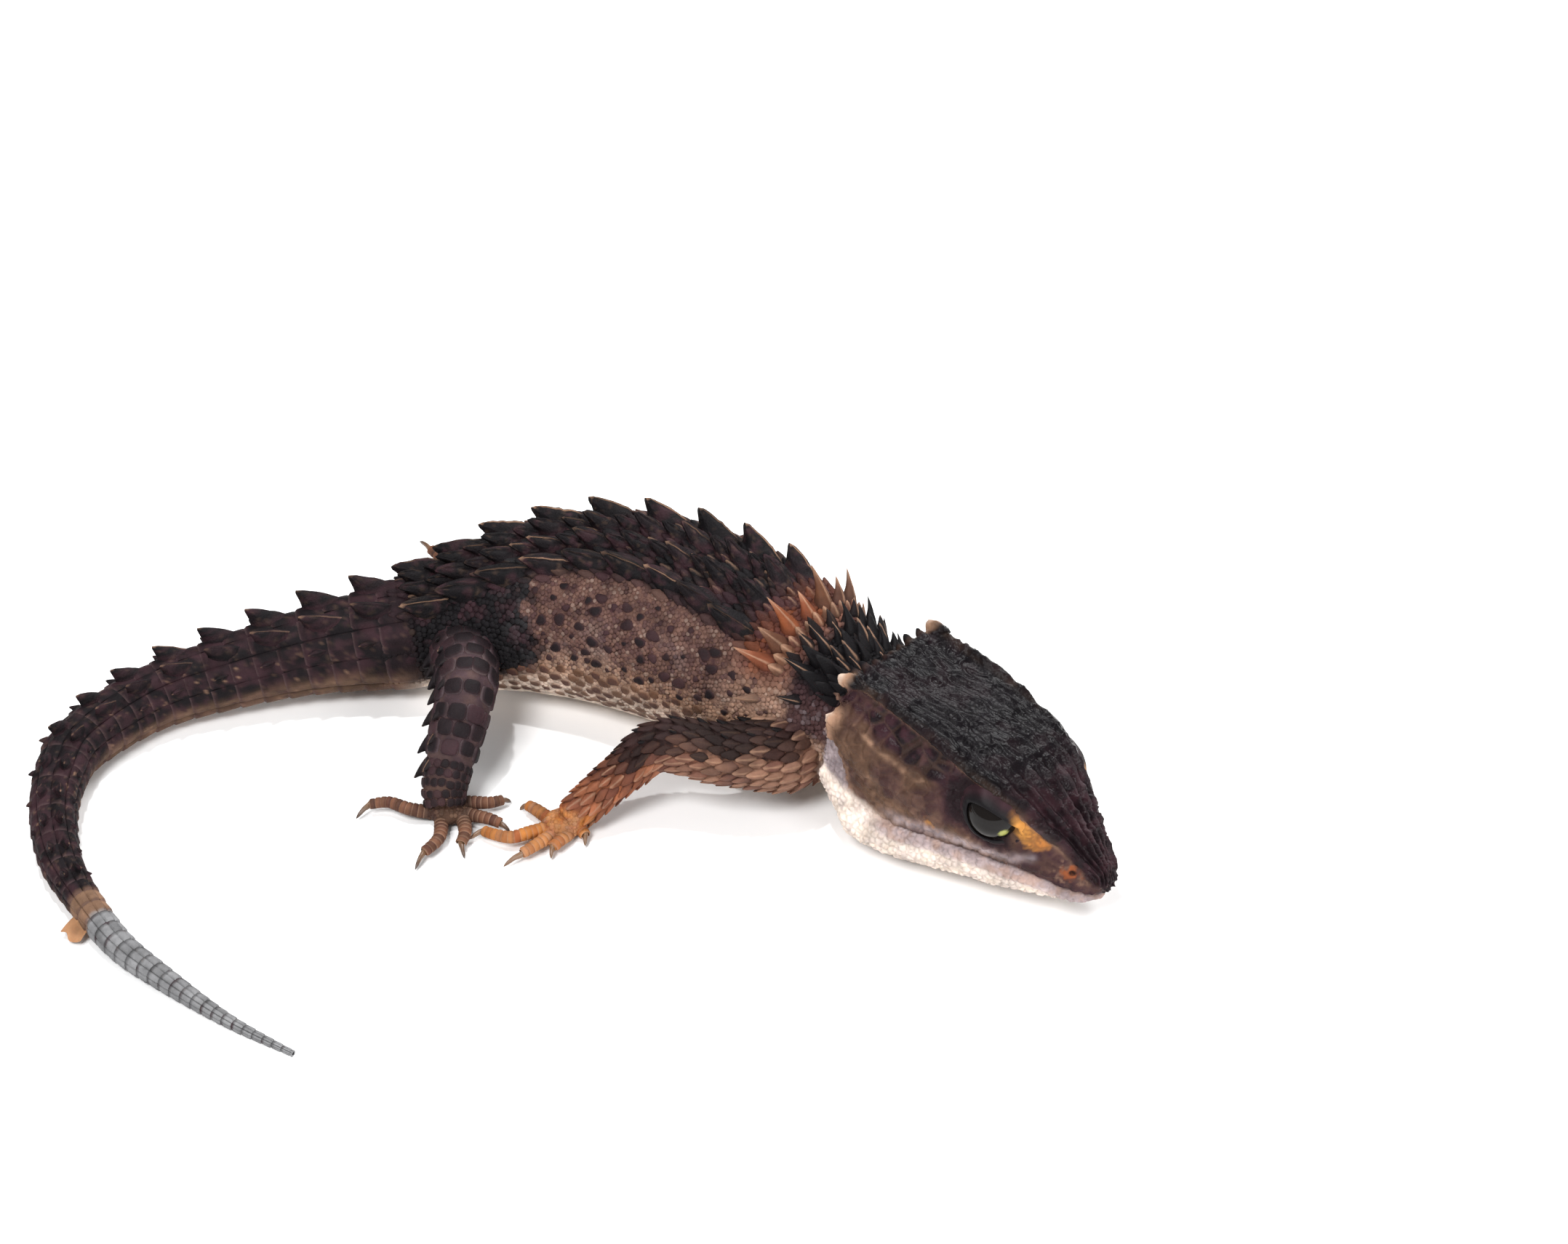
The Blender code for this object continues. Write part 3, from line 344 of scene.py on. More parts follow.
# %% Legs, palms and toes of the solids
LEGS = {
    "hind_right": {
        "joints": [(-10.4, 12.5, 6.2, 3.3), (-9.3, 4.2, 8.0, 2.7), (-10.1, 0.0, 5.5, 2.4),
                   (-11.0, -3.6, 2.7, 2.1), (-11.0, -4.7, 1.5, 1.9)],
        "knee": 1, "spiny_edge": -90.0, "spines": 1.0, "palm": (-10.8, -5.0),
        "toes": [
            [(-8.8, -3.9, 0.7), (-7.0, -4.2, 0.95), (-5.9, -3.6, 0.75), (-5.1, -3.3, 0.3)],
            [(-8.9, -5.5, 0.7), (-6.9, -6.4, 0.95), (-5.8, -6.8, 0.75), (-4.9, -7.5, 0.3)],
            [(-9.3, -6.2, 0.7), (-8.9, -8.3, 0.95), (-9.2, -9.5, 0.75), (-8.8, -11.0, 0.3)],
            [(-11.2, -6.3, 0.7), (-11.2, -9.1, 1.0), (-12.5, -10.8, 0.75), (-13.1, -12.5, 0.3)],
            [(-12.4, -5.2, 0.7), (-14.3, -5.2, 1.1), (-16.2, -4.3, 1.1), (-18.0, -4.4, 0.9),
             (-19.1, -5.6, 0.3)],
        ],
    },
    "hind_left": {
        "joints": [(-10.0, 18.5, 6.0, 3.2), (-9.3, 25.2, 5.7, 2.5), (-10.4, 27.6, 4.1, 2.2),
                   (-11.5, 29.3, 2.6, 1.9), (-11.9, 30.0, 1.5, 1.8)],
        "knee": 1, "spiny_edge": 90.0, "spines": 1.0, "palm": (-12.2, 30.3),
        "toes": [
            [(-10.6, 29.8, 0.7), (-9.2, 30.4, 0.95), (-8.2, 30.2, 0.75), (-7.3, 30.7, 0.3)],
            [(-10.8, 31.2, 0.7), (-9.3, 32.4, 0.95), (-8.5, 32.9, 0.75), (-7.7, 33.6, 0.3)],
            [(-12.0, 31.8, 0.7), (-11.8, 33.2, 0.95), (-11.9, 33.9, 0.75), (-11.6, 34.7, 0.3)],
            [(-13.3, 31.6, 0.7), (-14.5, 33.2, 1.0), (-15.6, 34.5, 1.1), (-16.8, 36.0, 0.95)],
            [(-13.8, 30.4, 0.7), (-14.9, 30.0, 0.95), (-15.7, 29.3, 0.8), (-16.8, 29.0, 0.3)],
        ],
    },
    "fore_right": {
        "joints": [(22.4, 3.0, 6.6, 4.4), (20.6, -2.0, 6.0, 3.9), (15.0, -4.0, 6.7, 2.8),
                   (9.0, -3.4, 7.2, 2.3), (5.7, -4.2, 5.0, 1.9), (1.8, -6.3, 2.4, 1.65),
                   (0.4, -6.9, 1.5, 1.55)],
        "knee": 3, "spiny_edge": -25.0, "spines": 0.6, "palm": (-0.2, -7.0),
        "toes": [
            [(1.5, -7.6, 0.7), (2.0, -8.4, 0.7), (2.0, -9.3, 0.3)],
            [(0.4, -8.2, 0.7), (-0.4, -9.5, 0.9), (-0.9, -10.2, 0.75), (-1.0, -11.0, 0.3)],
            [(-0.9, -8.3, 0.7), (-2.3, -9.9, 0.95), (-3.7, -11.0, 0.75), (-5.2, -12.1, 0.3)],
            [(-1.6, -7.5, 0.7), (-3.1, -8.4, 1.0), (-4.7, -9.0, 1.0), (-6.2, -8.5, 0.9),
             (-7.3, -7.8, 0.75), (-8.5, -8.4, 0.3)],
            [(-1.4, -6.1, 0.7), (-2.7, -5.1, 0.95), (-3.5, -4.3, 0.75), (-4.2, -4.4, 0.3)],
        ],
    },
    "fore_left": {
        "joints": [(17.6, 10.0, 6.4, 3.4), (19.6, 15.6, 6.4, 2.8), (20.9, 19.8, 6.0, 2.4),
                   (21.2, 21.8, 4.2, 2.0), (21.0, 23.1, 2.5, 1.75), (20.9, 23.8, 1.5, 1.6)],
        "knee": 2, "spiny_edge": 90.0, "spines": 0.6, "palm": (20.8, 24.1),
        "toes": [
            [(22.2, 23.4, 0.7), (23.4, 23.2, 0.9), (24.6, 23.5, 0.3)],
            [(22.2, 24.8, 0.7), (23.6, 25.5, 0.95), (24.3, 25.9, 0.75), (25.0, 26.6, 0.3)],
            [(21.4, 25.6, 0.7), (22.2, 27.2, 0.95), (22.6, 28.1, 0.75), (23.0, 29.2, 0.3)],
            [(20.4, 25.7, 0.7), (19.9, 27.5, 0.95), (19.4, 28.7, 0.8), (19.5, 30.0, 0.3)],
            [(19.3, 24.9, 0.7), (17.9, 25.6, 0.95), (17.1, 26.2, 0.75), (16.0, 26.5, 0.3)],
        ],
    },
}
TOE_RADIUS = (0.74, 0.47)
PALM_HEIGHT = 0.95
PALM_SIZE = (2.0, 1.8, 1.15)


def leg_line(sizes):
    """The line of a leg from its joint in the body to the palm."""
    joints = sizes["joints"]
    swing = np.array(joints[-1][:3]) - np.array(joints[0][:3])
    side = unit(np.cross([0.0, 0.0, 1.0], swing))
    return Line([(x, y, z, r, r) for x, y, z, r in joints], side=side)


def toe_line(sizes, number):
    """The line of one toe from inside the palm to the root of its claw."""
    points = sizes["toes"][number]
    palm = np.array([*sizes["palm"], PALM_HEIGHT])
    root = palm + (np.array(points[0]) - palm) * 0.45
    path = smooth_rows([root] + points[:-1], 3)
    radii = np.linspace(*TOE_RADIUS, len(path))
    side = unit(np.cross([0.0, 0.0, 1.0], path[-1] - path[0]))
    return Line(np.column_stack([path, radii, radii]), side=side, steps=4)


legs = {name: leg_line(sizes) for name, sizes in LEGS.items()}
toes = {(name, k): toe_line(sizes, k) for name, sizes in LEGS.items() for k in range(5)}
print(len(legs), "legs and", len(toes), "toes")


# %% [markdown]
# Each closed shape is a loft: rings of points joined by four-sided faces, with both ends filled.
# The shapes are written into one list of points and faces. They stay separate shells here, and
# only the remesh joins them.

# %% Lofts for the rough body
SKIN_DEPTH = 0.12


def join_shells(shells):
    """The points of many shells in one list, and all their faces."""
    faces, first = [], 0
    for points, own_faces in shells:
        faces += [tuple(first + k for k in face) for face in own_faces]
        first += len(points)
    return np.vstack([points for points, _ in shells]), faces


def grid_faces(rows, columns, ring=False):
    """Faces between rows of points; a ring also joins its last column to its first."""
    faces = []
    for k in range(rows - 1):
        for j in range(columns if ring else columns - 1):
            after = (j + 1) % columns
            faces.append((k * columns + j, k * columns + after,
                          (k + 1) * columns + after, (k + 1) * columns + j))
    return faces


def loft(rings):
    """Points and faces of a closed skin through rings with the same number of points."""
    rings = np.asarray(rings)
    count, sides = rings.shape[:2]
    points = rings.reshape(-1, 3)
    faces = grid_faces(count, sides, ring=True)
    faces.append(tuple(range(sides))[::-1])
    faces.append(tuple(range((count - 1) * sides, count * sides)))
    return points, faces


def tube_along(line, start, end, count, sides, grow=-SKIN_DEPTH):
    """A loft along a line, set a little under the surface of the solids."""
    distances = np.linspace(start, end, count)[:, None]
    degrees = np.arange(sides)[None, :] * 360.0 / sides
    return loft(line.skin(distances + 0.0 * degrees, degrees + 0.0 * distances, grow))


def blob(middle, radii, heading=0.0, sides=24, rings=16):
    """An ellipsoid, for palms and for knobs of bone."""
    rows = []
    for k in range(1, rings):
        polar = math.pi * k / rings
        around = np.arange(sides) * 2.0 * math.pi / sides
        ring = np.column_stack([math.sin(polar) * np.cos(around), math.sin(polar) * np.sin(around),
                                np.full(sides, -math.cos(polar))]) * radii
        rows.append(ring @ turn_about(2, heading).T + middle)
    return loft(rows)


def spike(foot, tip, radius, blunt, sides=14, rings=9):
    """A blunt cone from its foot to its tip, for the knobs on the rim of the helmet."""
    axis = unit(np.asarray(tip) - foot)
    side = unit(np.cross(axis, [0.3, 0.1, 0.9]))
    up = np.cross(axis, side)
    around = np.arange(sides) * 2.0 * math.pi / sides
    rows = []
    for share in np.linspace(0.0, 1.0, rings):
        wide = radius * (blunt + (1.0 - blunt) * (1.0 - share)) * math.sqrt(1.02 - share ** 6)
        middle = foot + (np.asarray(tip) - foot) * share
        ring = np.cos(around)[:, None] * side + np.sin(around)[:, None] * up
        rows.append(middle + wide * ring)
    return loft(rows)


# %% [markdown]
# The rim at the back of the helmet is toothed: a tall pale knob at each corner of the crown,
# another below it where the cheek ends, and a row of small blunt teeth between them. They are
# bone under thin skin, so they are added before the remesh and grow smoothly out of the head.

# %% The shells of the rough body
CORNER_KNOBS = ((0.9, 6.0, 4.4, 1.6, 1.05), (1.0, 7.1, 0.7, 1.15, 0.85))
RIM_TEETH = ((0.5, 4.5, 4.35, 1.15), (0.4, 3.0, 4.2, 1.3), (0.5, 1.6, 4.1, 1.0),
             (0.6, 0.3, 4.1, 0.9), (0.7, 6.8, 2.9, 0.95), (0.7, 7.3, -0.8, 0.7))
KNOB_BLUNT, TOOTH_BLUNT = 0.42, 0.35
KNOB_HEADING, TOOTH_HEADING = (-1.0, 0.3, 0.26), (-1.0, 0.15, 0.35)
TOOTH_RADIUS = 0.62
FOOT_DEPTH = 0.4
shells = [tube_along(body, -TAIL_LENGTH, NAPE, 420, 56)]
shells.append(loft([from_head(head_ring(share)) for share in
                    np.concatenate([np.linspace(0.0, 0.9, 64), np.linspace(0.91, 1.0, 12)])]))
KNOB_WAY, TOOTH_WAY = unit(np.array([KNOB_HEADING, TOOTH_HEADING]))
rim = [(*knob, KNOB_WAY, KNOB_BLUNT) for knob in CORNER_KNOBS]
rim += [(*tooth, TOOTH_RADIUS, TOOTH_WAY, TOOTH_BLUNT) for tooth in RIM_TEETH]
for side in (-1, 1):
    for ahead, across, rise, tall, radius, way, blunt in rim:
        foot = np.array([ahead, across, rise]) * [1.0, side, 1.0]
        tip = foot + way * [1.0, side, 1.0] * (tall + FOOT_DEPTH)
        shells.append(spike(from_head(foot), from_head(tip), radius, blunt))
for name, sizes in LEGS.items():
    line = legs[name]
    shells.append(tube_along(line, 0.0, line.along[-1], 60, 32))
    middle = np.array([*sizes["palm"], PALM_HEIGHT])
    ahead = np.array(sizes["toes"][2][-1][:2]) - sizes["palm"]
    shells.append(blob(middle, np.array(PALM_SIZE) - SKIN_DEPTH, math.atan2(ahead[1], ahead[0])))
    for k in range(5):
        toe = toes[name, k]
        shells.append(tube_along(toe, 0.0, toe.along[-1] - 0.1, 26, 16, -0.08))
print(len(shells), "closed shells")

# %% [markdown]
# A voxel remesh turns the heap of shells into one closed skin of small even faces. Its steps
# are smoothed away by a few passes that move each point towards its neighbours and back out
# again, which takes away the voxel steps but doesn't shrink thin toes.

# %% One skin
VOXEL = 0.23


def new_mesh(name, points, faces, scale=1.0):
    """A mesh object that rides on nothing yet, from points and faces."""
    mesh = bpy.data.meshes.new(name)
    mesh.from_pydata((np.asarray(points) * scale).tolist(), [], [tuple(face) for face in faces])
    mesh.update()
    obj = bpy.data.objects.new(name, mesh)
    bpy.context.scene.collection.objects.link(obj)
    return obj


def read_vectors(items, label):
    """A vector of each item of a mesh, as rows of an array."""
    values = np.empty(len(items) * 3, np.float32)
    items.foreach_get(label, values)
    return values.reshape(-1, 3).astype(float)


def get_points(mesh):
    return read_vectors(mesh.vertices, "co")


def set_points(mesh, points):
    mesh.vertices.foreach_set("co", np.asarray(points, np.float32).ravel())
    mesh.update()


def get_normals(mesh):
    return read_vectors(mesh.vertex_normals, "vector")


def neighbour_pairs(mesh):
    pairs = np.empty(len(mesh.edges) * 2, np.int32)
    mesh.edges.foreach_get("vertices", pairs)
    return pairs.reshape(-1, 2)


def smooth(points, pairs, passes, strength=0.5, swell=0.53):
    """Moves points towards their neighbours and back out, which keeps thin parts thick."""
    count = np.bincount(pairs.ravel(), minlength=len(points))[:, None]
    for number in range(passes * 2):
        total = np.zeros_like(points)
        for axis in range(3):
            total[:, axis] += np.bincount(pairs[:, 0], points[pairs[:, 1], axis], len(points))
            total[:, axis] += np.bincount(pairs[:, 1], points[pairs[:, 0], axis], len(points))
        pull = total / np.maximum(count, 1) - points
        points = points + pull * (strength if number % 2 == 0 else -swell)
    return points


skin = new_mesh("skin", *join_shells(shells))
remesh = skin.modifiers.new("one skin", "REMESH")
remesh.mode = "VOXEL"
remesh.voxel_size = VOXEL
bpy.context.view_layer.update()
graph = bpy.context.evaluated_depsgraph_get()
skin.data = bpy.data.meshes.new_from_object(skin.evaluated_get(graph))
skin.modifiers.clear()
print("skin:", len(skin.data.vertices), "points")

# %% [markdown]
# The head carries the finest forms, so its faces are divided once more before anything is
# carved. The rest of the skin lies under scales and stays as it is.

# %% Finer faces on the head
HEAD_FINE_FROM, HEAD_FINE_ABOVE = -1.5, -9.5


def refine_head(obj):
    """Splits the faces above the throat and ahead of the back of the helmet."""
    mesh = bmesh.new()
    mesh.from_mesh(obj.data)
    at_head = to_head(get_points(obj.data))
    fine = (at_head[:, 0] > HEAD_FINE_FROM) & (at_head[:, 2] > HEAD_FINE_ABOVE)
    mesh.edges.ensure_lookup_table()
    chosen = [edge for edge in mesh.edges if all(fine[vert.index] for vert in edge.verts)]
    bmesh.ops.subdivide_edges(mesh, edges=chosen, cuts=1, use_grid_fill=True)
    mesh.to_mesh(obj.data)
    mesh.free()


skin_points = smooth(get_points(skin.data), neighbour_pairs(skin.data), 6)
set_points(skin.data, skin_points)
refine_head(skin)
pairs = neighbour_pairs(skin.data)
skin_points = smooth(get_points(skin.data), pairs, 2)
set_points(skin.data, skin_points)
print("skin:", len(skin.data.vertices), "points,", len(skin.data.polygons), "faces")


# %% [markdown]
# ## Where a point lies
# Carving and colour both need to know where on the animal a point is: how far along the body
# and at which angle, where in the head's frame, or where on which leg. One survey answers that
# for the skin, and later for the root of every scale, so skin and coat get the same markings.

# %% A survey of points
LEG_NAMES = list(LEGS)


def survey(points):
    """Places of points on the body, in the head's frame and on the nearest leg and toe."""
    count = len(points)
    found = {"points": points}
    found["s"], found["turn"], found["reach"] = body.nearest(points)
    found["f"], found["a"], found["u"] = to_head(points).T
    flat = np.column_stack([found["f"], np.abs(found["a"]), found["u"]])
    knobs = np.full(count, 9.0)
    for ahead, across, rise, tall, _ in CORNER_KNOBS:
        foot = np.array([ahead, across, rise])
        tip = foot + KNOB_WAY * (tall + 0.7)
        knobs = np.minimum(knobs, line_distance(flat, [foot, tip])[0])
    found["head"] = np.maximum(ease(-0.7, 0.3, found["f"]), ease(1.5, 1.1, knobs))
    found["leg"] = np.full(count, -1)
    for label, far in (("leg_reach", 9.0), ("toe_gap", 99.0), ("leg_s", 0.0), ("leg_turn", 0.0),
                       ("toe_s", 0.0)):
        found[label] = np.full(count, far)
    loose = np.flatnonzero((found["reach"] > 0.98) & (found["head"] < 1.0)
                           & ((found["s"] > -12.0) | (found["reach"] > 1.6)))
    for number, name in enumerate(LEG_NAMES):
        distance, turn, reach = legs[name].nearest(points[loose])
        nearer = reach < found["leg_reach"][loose]
        chosen = loose[nearer]
        found["leg_reach"][chosen], found["leg"][chosen] = reach[nearer], number
        found["leg_s"][chosen] = distance[nearer] / legs[name].along[-1]
        found["leg_turn"][chosen] = turn[nearer]
    low = loose[(points[loose, 2] < 4.2) & (found["leg_reach"][loose] < 9.0)]
    for (name, _), toe in toes.items():
        near = low[np.linalg.norm(points[low] - toe.rows[0, :3], axis=1) < 12.0]
        gap, along = line_distance(points[near], toe.rows[::4, :3])
        nearer = gap < found["toe_gap"][near]
        found["toe_gap"][near[nearer]] = gap[nearer]
        found["toe_s"][near[nearer]] = along[nearer]
        found["leg"][near[nearer & (gap < 2.0)]] = LEG_NAMES.index(name)
    found["foot"] = (ease(4.2, 2.6, points[:, 2]) * ease(2.6, 1.7, found["toe_gap"])
                     * ease(1.02, 1.1, found["reach"]))
    on_leg = ease(1.45, 1.25, found["leg_reach"]) * ease(1.0, 1.06, found["reach"])
    found["on_leg"] = np.maximum(on_leg, found["foot"]) * (1.0 - found["head"])
    found["on_body"] = (1.0 - found["on_leg"]) * (1.0 - found["head"])
    return found


places = survey(skin_points)
for region in ("head", "on_body", "on_leg", "foot"):
    print(region, int((places[region] > 0.5).sum()), "points")

# %% [markdown]
# ## Carving the head
# The helmet is one fused mass of bone. A sharp brow ridge runs from each hind corner over the
# eye to the tip of the snout, with a shorter one across the temple. Above them the crown is
# wrinkled and shiny, and the snout has long fine ridges. All of this is carved into the skin by
# moving points along their normals. The lines are given for the left side and serve for both.

# %% Lines on the head
BROW_RIDGE = [(-0.4, 6.3, 4.9), (1.8, 6.1, 5.1), (4.5, 5.9, 5.15), (7.4, 6.0, 5.1),
              (10.2, 6.0, 4.95), (13.2, 5.9, 4.5), (16.0, 5.6, 4.0), (18.0, 5.2, 3.5),
              (19.6, 4.7, 2.9), (21.0, 4.1, 2.2), (22.4, 3.4, 1.4), (23.8, 2.8, 0.6),
              (25.4, 2.1, -0.4), (27.0, 1.2, -1.5)]
TEMPLE_RIDGE = [(2.6, 7.4, 1.9), (4.5, 7.4, 1.5), (6.5, 7.3, 1.1), (8.6, 7.2, 0.9),
                (10.6, 6.9, 1.0)]
PLATE_EDGE = [(-0.2, 7.4, 4.0), (0.0, 7.5, 2.0), (0.2, 7.7, 0.2), (1.8, 7.8, -1.9),
              (2.9, 7.8, -2.9), (4.1, 7.7, -4.6), (5.4, 7.6, -5.6), (7.2, 7.4, -5.5)]
CHEEK_FOLD = [(2.9, 7.8, -2.9), (4.8, 7.9, -2.5), (6.4, 7.8, -2.8), (8.3, 7.6, -2.6),
              (10.3, 7.3, -2.1), (12.2, 6.9, -1.7), (13.8, 6.6, -1.3)]
LIP_FOLD = [(9.4, 7.1, -4.6), (10.8, 7.0, -3.4), (12.2, 6.8, -2.7), (13.9, 6.4, -2.2),
            (15.8, 6.0, -2.0), (17.8, 5.5, -1.9)]
MOUTH_LINE = [(7.2, 7.4, -5.4), (8.8, 7.2, -5.1), (10.6, 6.9, -4.7), (13.0, 6.5, -4.0),
              (15.2, 6.0, -3.5), (17.3, 5.5, -3.1), (19.5, 4.9, -2.9), (21.8, 4.3, -2.8),
              (24.0, 3.3, -2.85), (25.9, 2.3, -2.95), (27.5, 1.1, -2.9)]
LIP_STRIPE = [(15.4, 6.1, -2.6), (17.2, 5.7, -2.2), (19.0, 5.3, -1.7), (20.6, 4.8, -1.2),
              (21.8, 4.4, -0.8)]
NOSTRIL_AT = (25.1, 2.6, -1.0)
NOSTRIL_RADIUS = 0.26
FOLD_WIDTH = 0.16
EYE_AT = np.array([16.8, 4.35, 1.25])
EYE_RADIUS = 2.75
EYE_TURN = math.radians(13.0)
PATH_STEPS = 6
brow_path, temple_path, plate_path, mouth_path, cheek_path, lip_path, stripe_path = (
    smooth_rows(line, PATH_STEPS) for line in
    (BROW_RIDGE, TEMPLE_RIDGE, PLATE_EDGE, MOUTH_LINE, CHEEK_FOLD, LIP_FOLD, LIP_STRIPE))


def height_on(path, forward):
    """The height of a head line above a place along the head."""
    order = np.argsort(path[:, 0])
    return np.interp(forward, path[order, 0], path[order, 2])


# %% [markdown]
# The eye is large and sits under the brow ridge. Its opening is an almond that points forward
# and down. The skin inside the almond is drawn back to a socket, and the lids are built later
# as separate rolls round the same almond.

# %% The almond of the eye
eye_out = unit(np.array([math.sin(EYE_TURN), math.cos(EYE_TURN), 0.05]))
eye_ahead = unit(np.array([1.0, 0.0, -0.1]) - eye_out * (eye_out @ [1.0, 0.0, -0.1]))
eye_up = np.cross(eye_ahead, eye_out)
eye_up = eye_up if eye_up[2] > 0 else -eye_up
ALMOND_LENGTH = 2.55
ALMOND_TOP = 1.4
ALMOND_BOTTOM = 1.55
ALMOND_MIDDLE = (0.5, 0.0)
ALMOND_TILT = math.radians(-10.0)


def almond_rim(angle, grow=0.0):
    """The almond's rim in the eye's own plane: ahead and up from the middle of the eye."""
    ahead = np.cos(angle) * (ALMOND_LENGTH + grow)
    tall = np.where(np.sin(angle) > 0.0, ALMOND_TOP, ALMOND_BOTTOM) + grow
    rise = np.sign(np.sin(angle)) * np.abs(np.sin(angle)) ** 1.25 * tall
    turned = ahead * math.cos(ALMOND_TILT) - rise * math.sin(ALMOND_TILT)
    lifted = ahead * math.sin(ALMOND_TILT) + rise * math.cos(ALMOND_TILT)
    return turned + ALMOND_MIDDLE[0], lifted + ALMOND_MIDDLE[1]


def almond_share(head_points):
    """0 in the middle of the almond, 1 on its rim, and more outside it."""
    away = head_points - EYE_AT
    ahead = away @ eye_ahead - ALMOND_MIDDLE[0]
    rise = away @ eye_up - ALMOND_MIDDLE[1]
    along = ahead * math.cos(ALMOND_TILT) + rise * math.sin(ALMOND_TILT)
    across = -ahead * math.sin(ALMOND_TILT) + rise * math.cos(ALMOND_TILT)
    tall = np.where(across > 0.0, ALMOND_TOP, ALMOND_BOTTOM)
    return np.hypot(along / ALMOND_LENGTH, np.abs(across / tall) ** 0.85)


# %% [markdown]
# Each form of the head is a small height field: a ridge is a bell across a line, a fold is a
# groove, and the wrinkles of the crown are noise with sharp crests, drawn out along the head.
# All heights are added up and the points move out by the sum.

# %% Height of the head's skin


def bell(distance, width):
    return np.exp(-(distance / width) ** 2)


def crown_share(f, a, u):
    """1 on top of the head between the two brow ridges, where the middle is a little hollow."""
    inwards = np.interp(f, brow_path[:, 0], brow_path[:, 1]) - np.abs(a)
    return ease(-0.45, 0.05, u - height_on(brow_path, f) + 1.1 * ease(0.0, 0.9, inwards))


def plate_edge(u):
    """How far along the head the hind edge of the cheek lies at a height."""
    return np.interp(u, plate_path[::-1, 2], plate_path[::-1, 0])


def head_scales(f, a, u):
    """Scales of the head's sides: how deep inside its scale a point is and the scale's number.
    They are large on the temple and snout, middling on the cheek, and fine behind and below."""
    own = np.column_stack([f, a, u])
    over = u - height_on(mouth_path, f)
    behind = f < plate_edge(u)
    fine = (over < -0.1) | (behind & (u < 3.5)) | (u < -5.2)
    large = ~fine & ((u > height_on(temple_path, f)) & (f < 13.5) | (f > 20.0))
    middling = ~fine & ~large
    inside, number = np.zeros(len(f)), np.zeros(len(f))
    for chosen, size, seed in ((fine, 0.62, 71), (middling, 1.15, 72), (large, 1.5, 73)):
        inside[chosen], number[chosen] = cells(own[chosen] / size + 0.15 * np.abs(a[chosen, None]),
                                               seed)
    return inside, number


def snout_width(f):
    """Half the width of the crown between the brow ridges."""
    return np.maximum(np.interp(f, brow_path[:, 0], brow_path[:, 1]), 0.8)


def head_height(f, a, u):
    """How far the head's skin stands out from the plain form, in millimetres."""
    side = np.abs(a)
    flat = np.column_stack([f, side, u])
    own = np.column_stack([f, a, u])
    crown = crown_share(f, side, u)
    snout = ease(15.0, 19.0, f)
    brow, brow_along = line_distance(flat, brow_path)
    beads = 0.75 + 0.5 * noise(np.column_stack([brow_along * 1.1, a * 0 + 3.0, a * 0]), 3)
    height = 0.42 * bell(brow, 0.42) * beads * ease(27.0, 21.0, f)
    temple, _ = line_distance(flat, temple_path)
    height += 0.26 * bell(temple, 0.28)
    bend = (noise(own * [0.2, 0.34, 0.3], 11) * 2.0)[:, None]
    long = wrinkle(own * [0.24, 1.15, 0.9] + bend * [0.3, 1.0, 0.6], 12)
    finer = wrinkle(own * [0.5, 2.3, 1.9] + bend * [0.6, 2.0, 1.2], 13)
    knots = wrinkle(own * [0.9, 1.5, 1.3] + bend, 14)
    rugae = 0.26 * (long ** 2 - 0.4) + 0.14 * (finer ** 2 - 0.4) + 0.22 * (knots ** 2 - 0.4)
    rugae += 0.05 * (wrinkle(own * [1.5, 4.2, 3.4] + bend, 10) - 0.5)
    height += crown * (1.0 - 0.55 * snout) * rugae
    wide = snout_width(f)
    lanes = np.cos(math.pi * 7.0 * a / wide + 1.2 * noise(own * 0.5, 15))
    cuts = wrinkle(np.column_stack([f * 0.55, np.round(3.5 * a / wide), u * 0]), 16)
    height += crown * snout * (0.3 * lanes + 0.22 * (finer - 0.5) - 0.14 * ease(0.85, 1.0, cuts))
    region = (1.0 - crown) * ease(-0.2, 0.5, u - height_on(temple_path, f)) * ease(13.5, 11.5, f)
    inside, number = head_scales(f, a, u)
    lumps = ease(0.0, 0.4, inside)
    height += region * (0.3 * (lumps - 0.6) + 0.24 * (number - 0.5) - 0.1)
    cheek = (1.0 - crown) * (1.0 - region)
    scales = 0.17 * (ease(0.0, 0.22, inside) - 0.7) + 0.09 * (number - 0.5)
    height += cheek * (scales + 0.06 * (wrinkle(own * 1.9, 18) - 0.5))
    edge, _ = line_distance(flat, plate_path)
    behind = ease(0.15, -0.25, f - plate_edge(u))
    below = ease(-5.2, -6.0, u)
    height += 0.22 * bell(edge, 0.3) * (1.0 - crown)
    height -= 0.2 * behind * ease(4.0, 2.5, u) * (1.0 - below)
    for path, deep in ((cheek_path, 0.14), (lip_path, 0.16)):
        fold, _ = line_distance(flat, path)
        height += deep * (bell(fold - 0.22, FOLD_WIDTH * 1.3) * 0.4 - bell(fold, FOLD_WIDTH))
    mouth, along = line_distance(flat, mouth_path)
    over = u - height_on(mouth_path, f)
    scale_cut = np.abs(np.sin(math.pi * along / 1.75))
    upper_lip = ease(0.05, 0.25, over) * ease(1.7, 1.1, over) * ease(8.0, 9.5, f)
    lower_lip = ease(-0.05, -0.25, over) * ease(-1.6, -1.0, over) * ease(8.0, 9.5, f)
    height += 0.1 * (upper_lip + lower_lip) * (0.2 + 0.8 * ease(0.0, 0.35, scale_cut))
    height -= 0.34 * bell(mouth, 0.17)
    hole = np.linalg.norm((flat - NOSTRIL_AT) * [0.8, 1.0, 1.1], axis=1)
    height += 0.05 * bell(hole - 0.7, 0.3) - 0.35 * ease(NOSTRIL_RADIUS, 0.05, hole)
    pits = wrinkle(own * 1.9, 19) * ease(-1.2, -2.6, over)
    return height + 0.05 * (pits - 0.5)


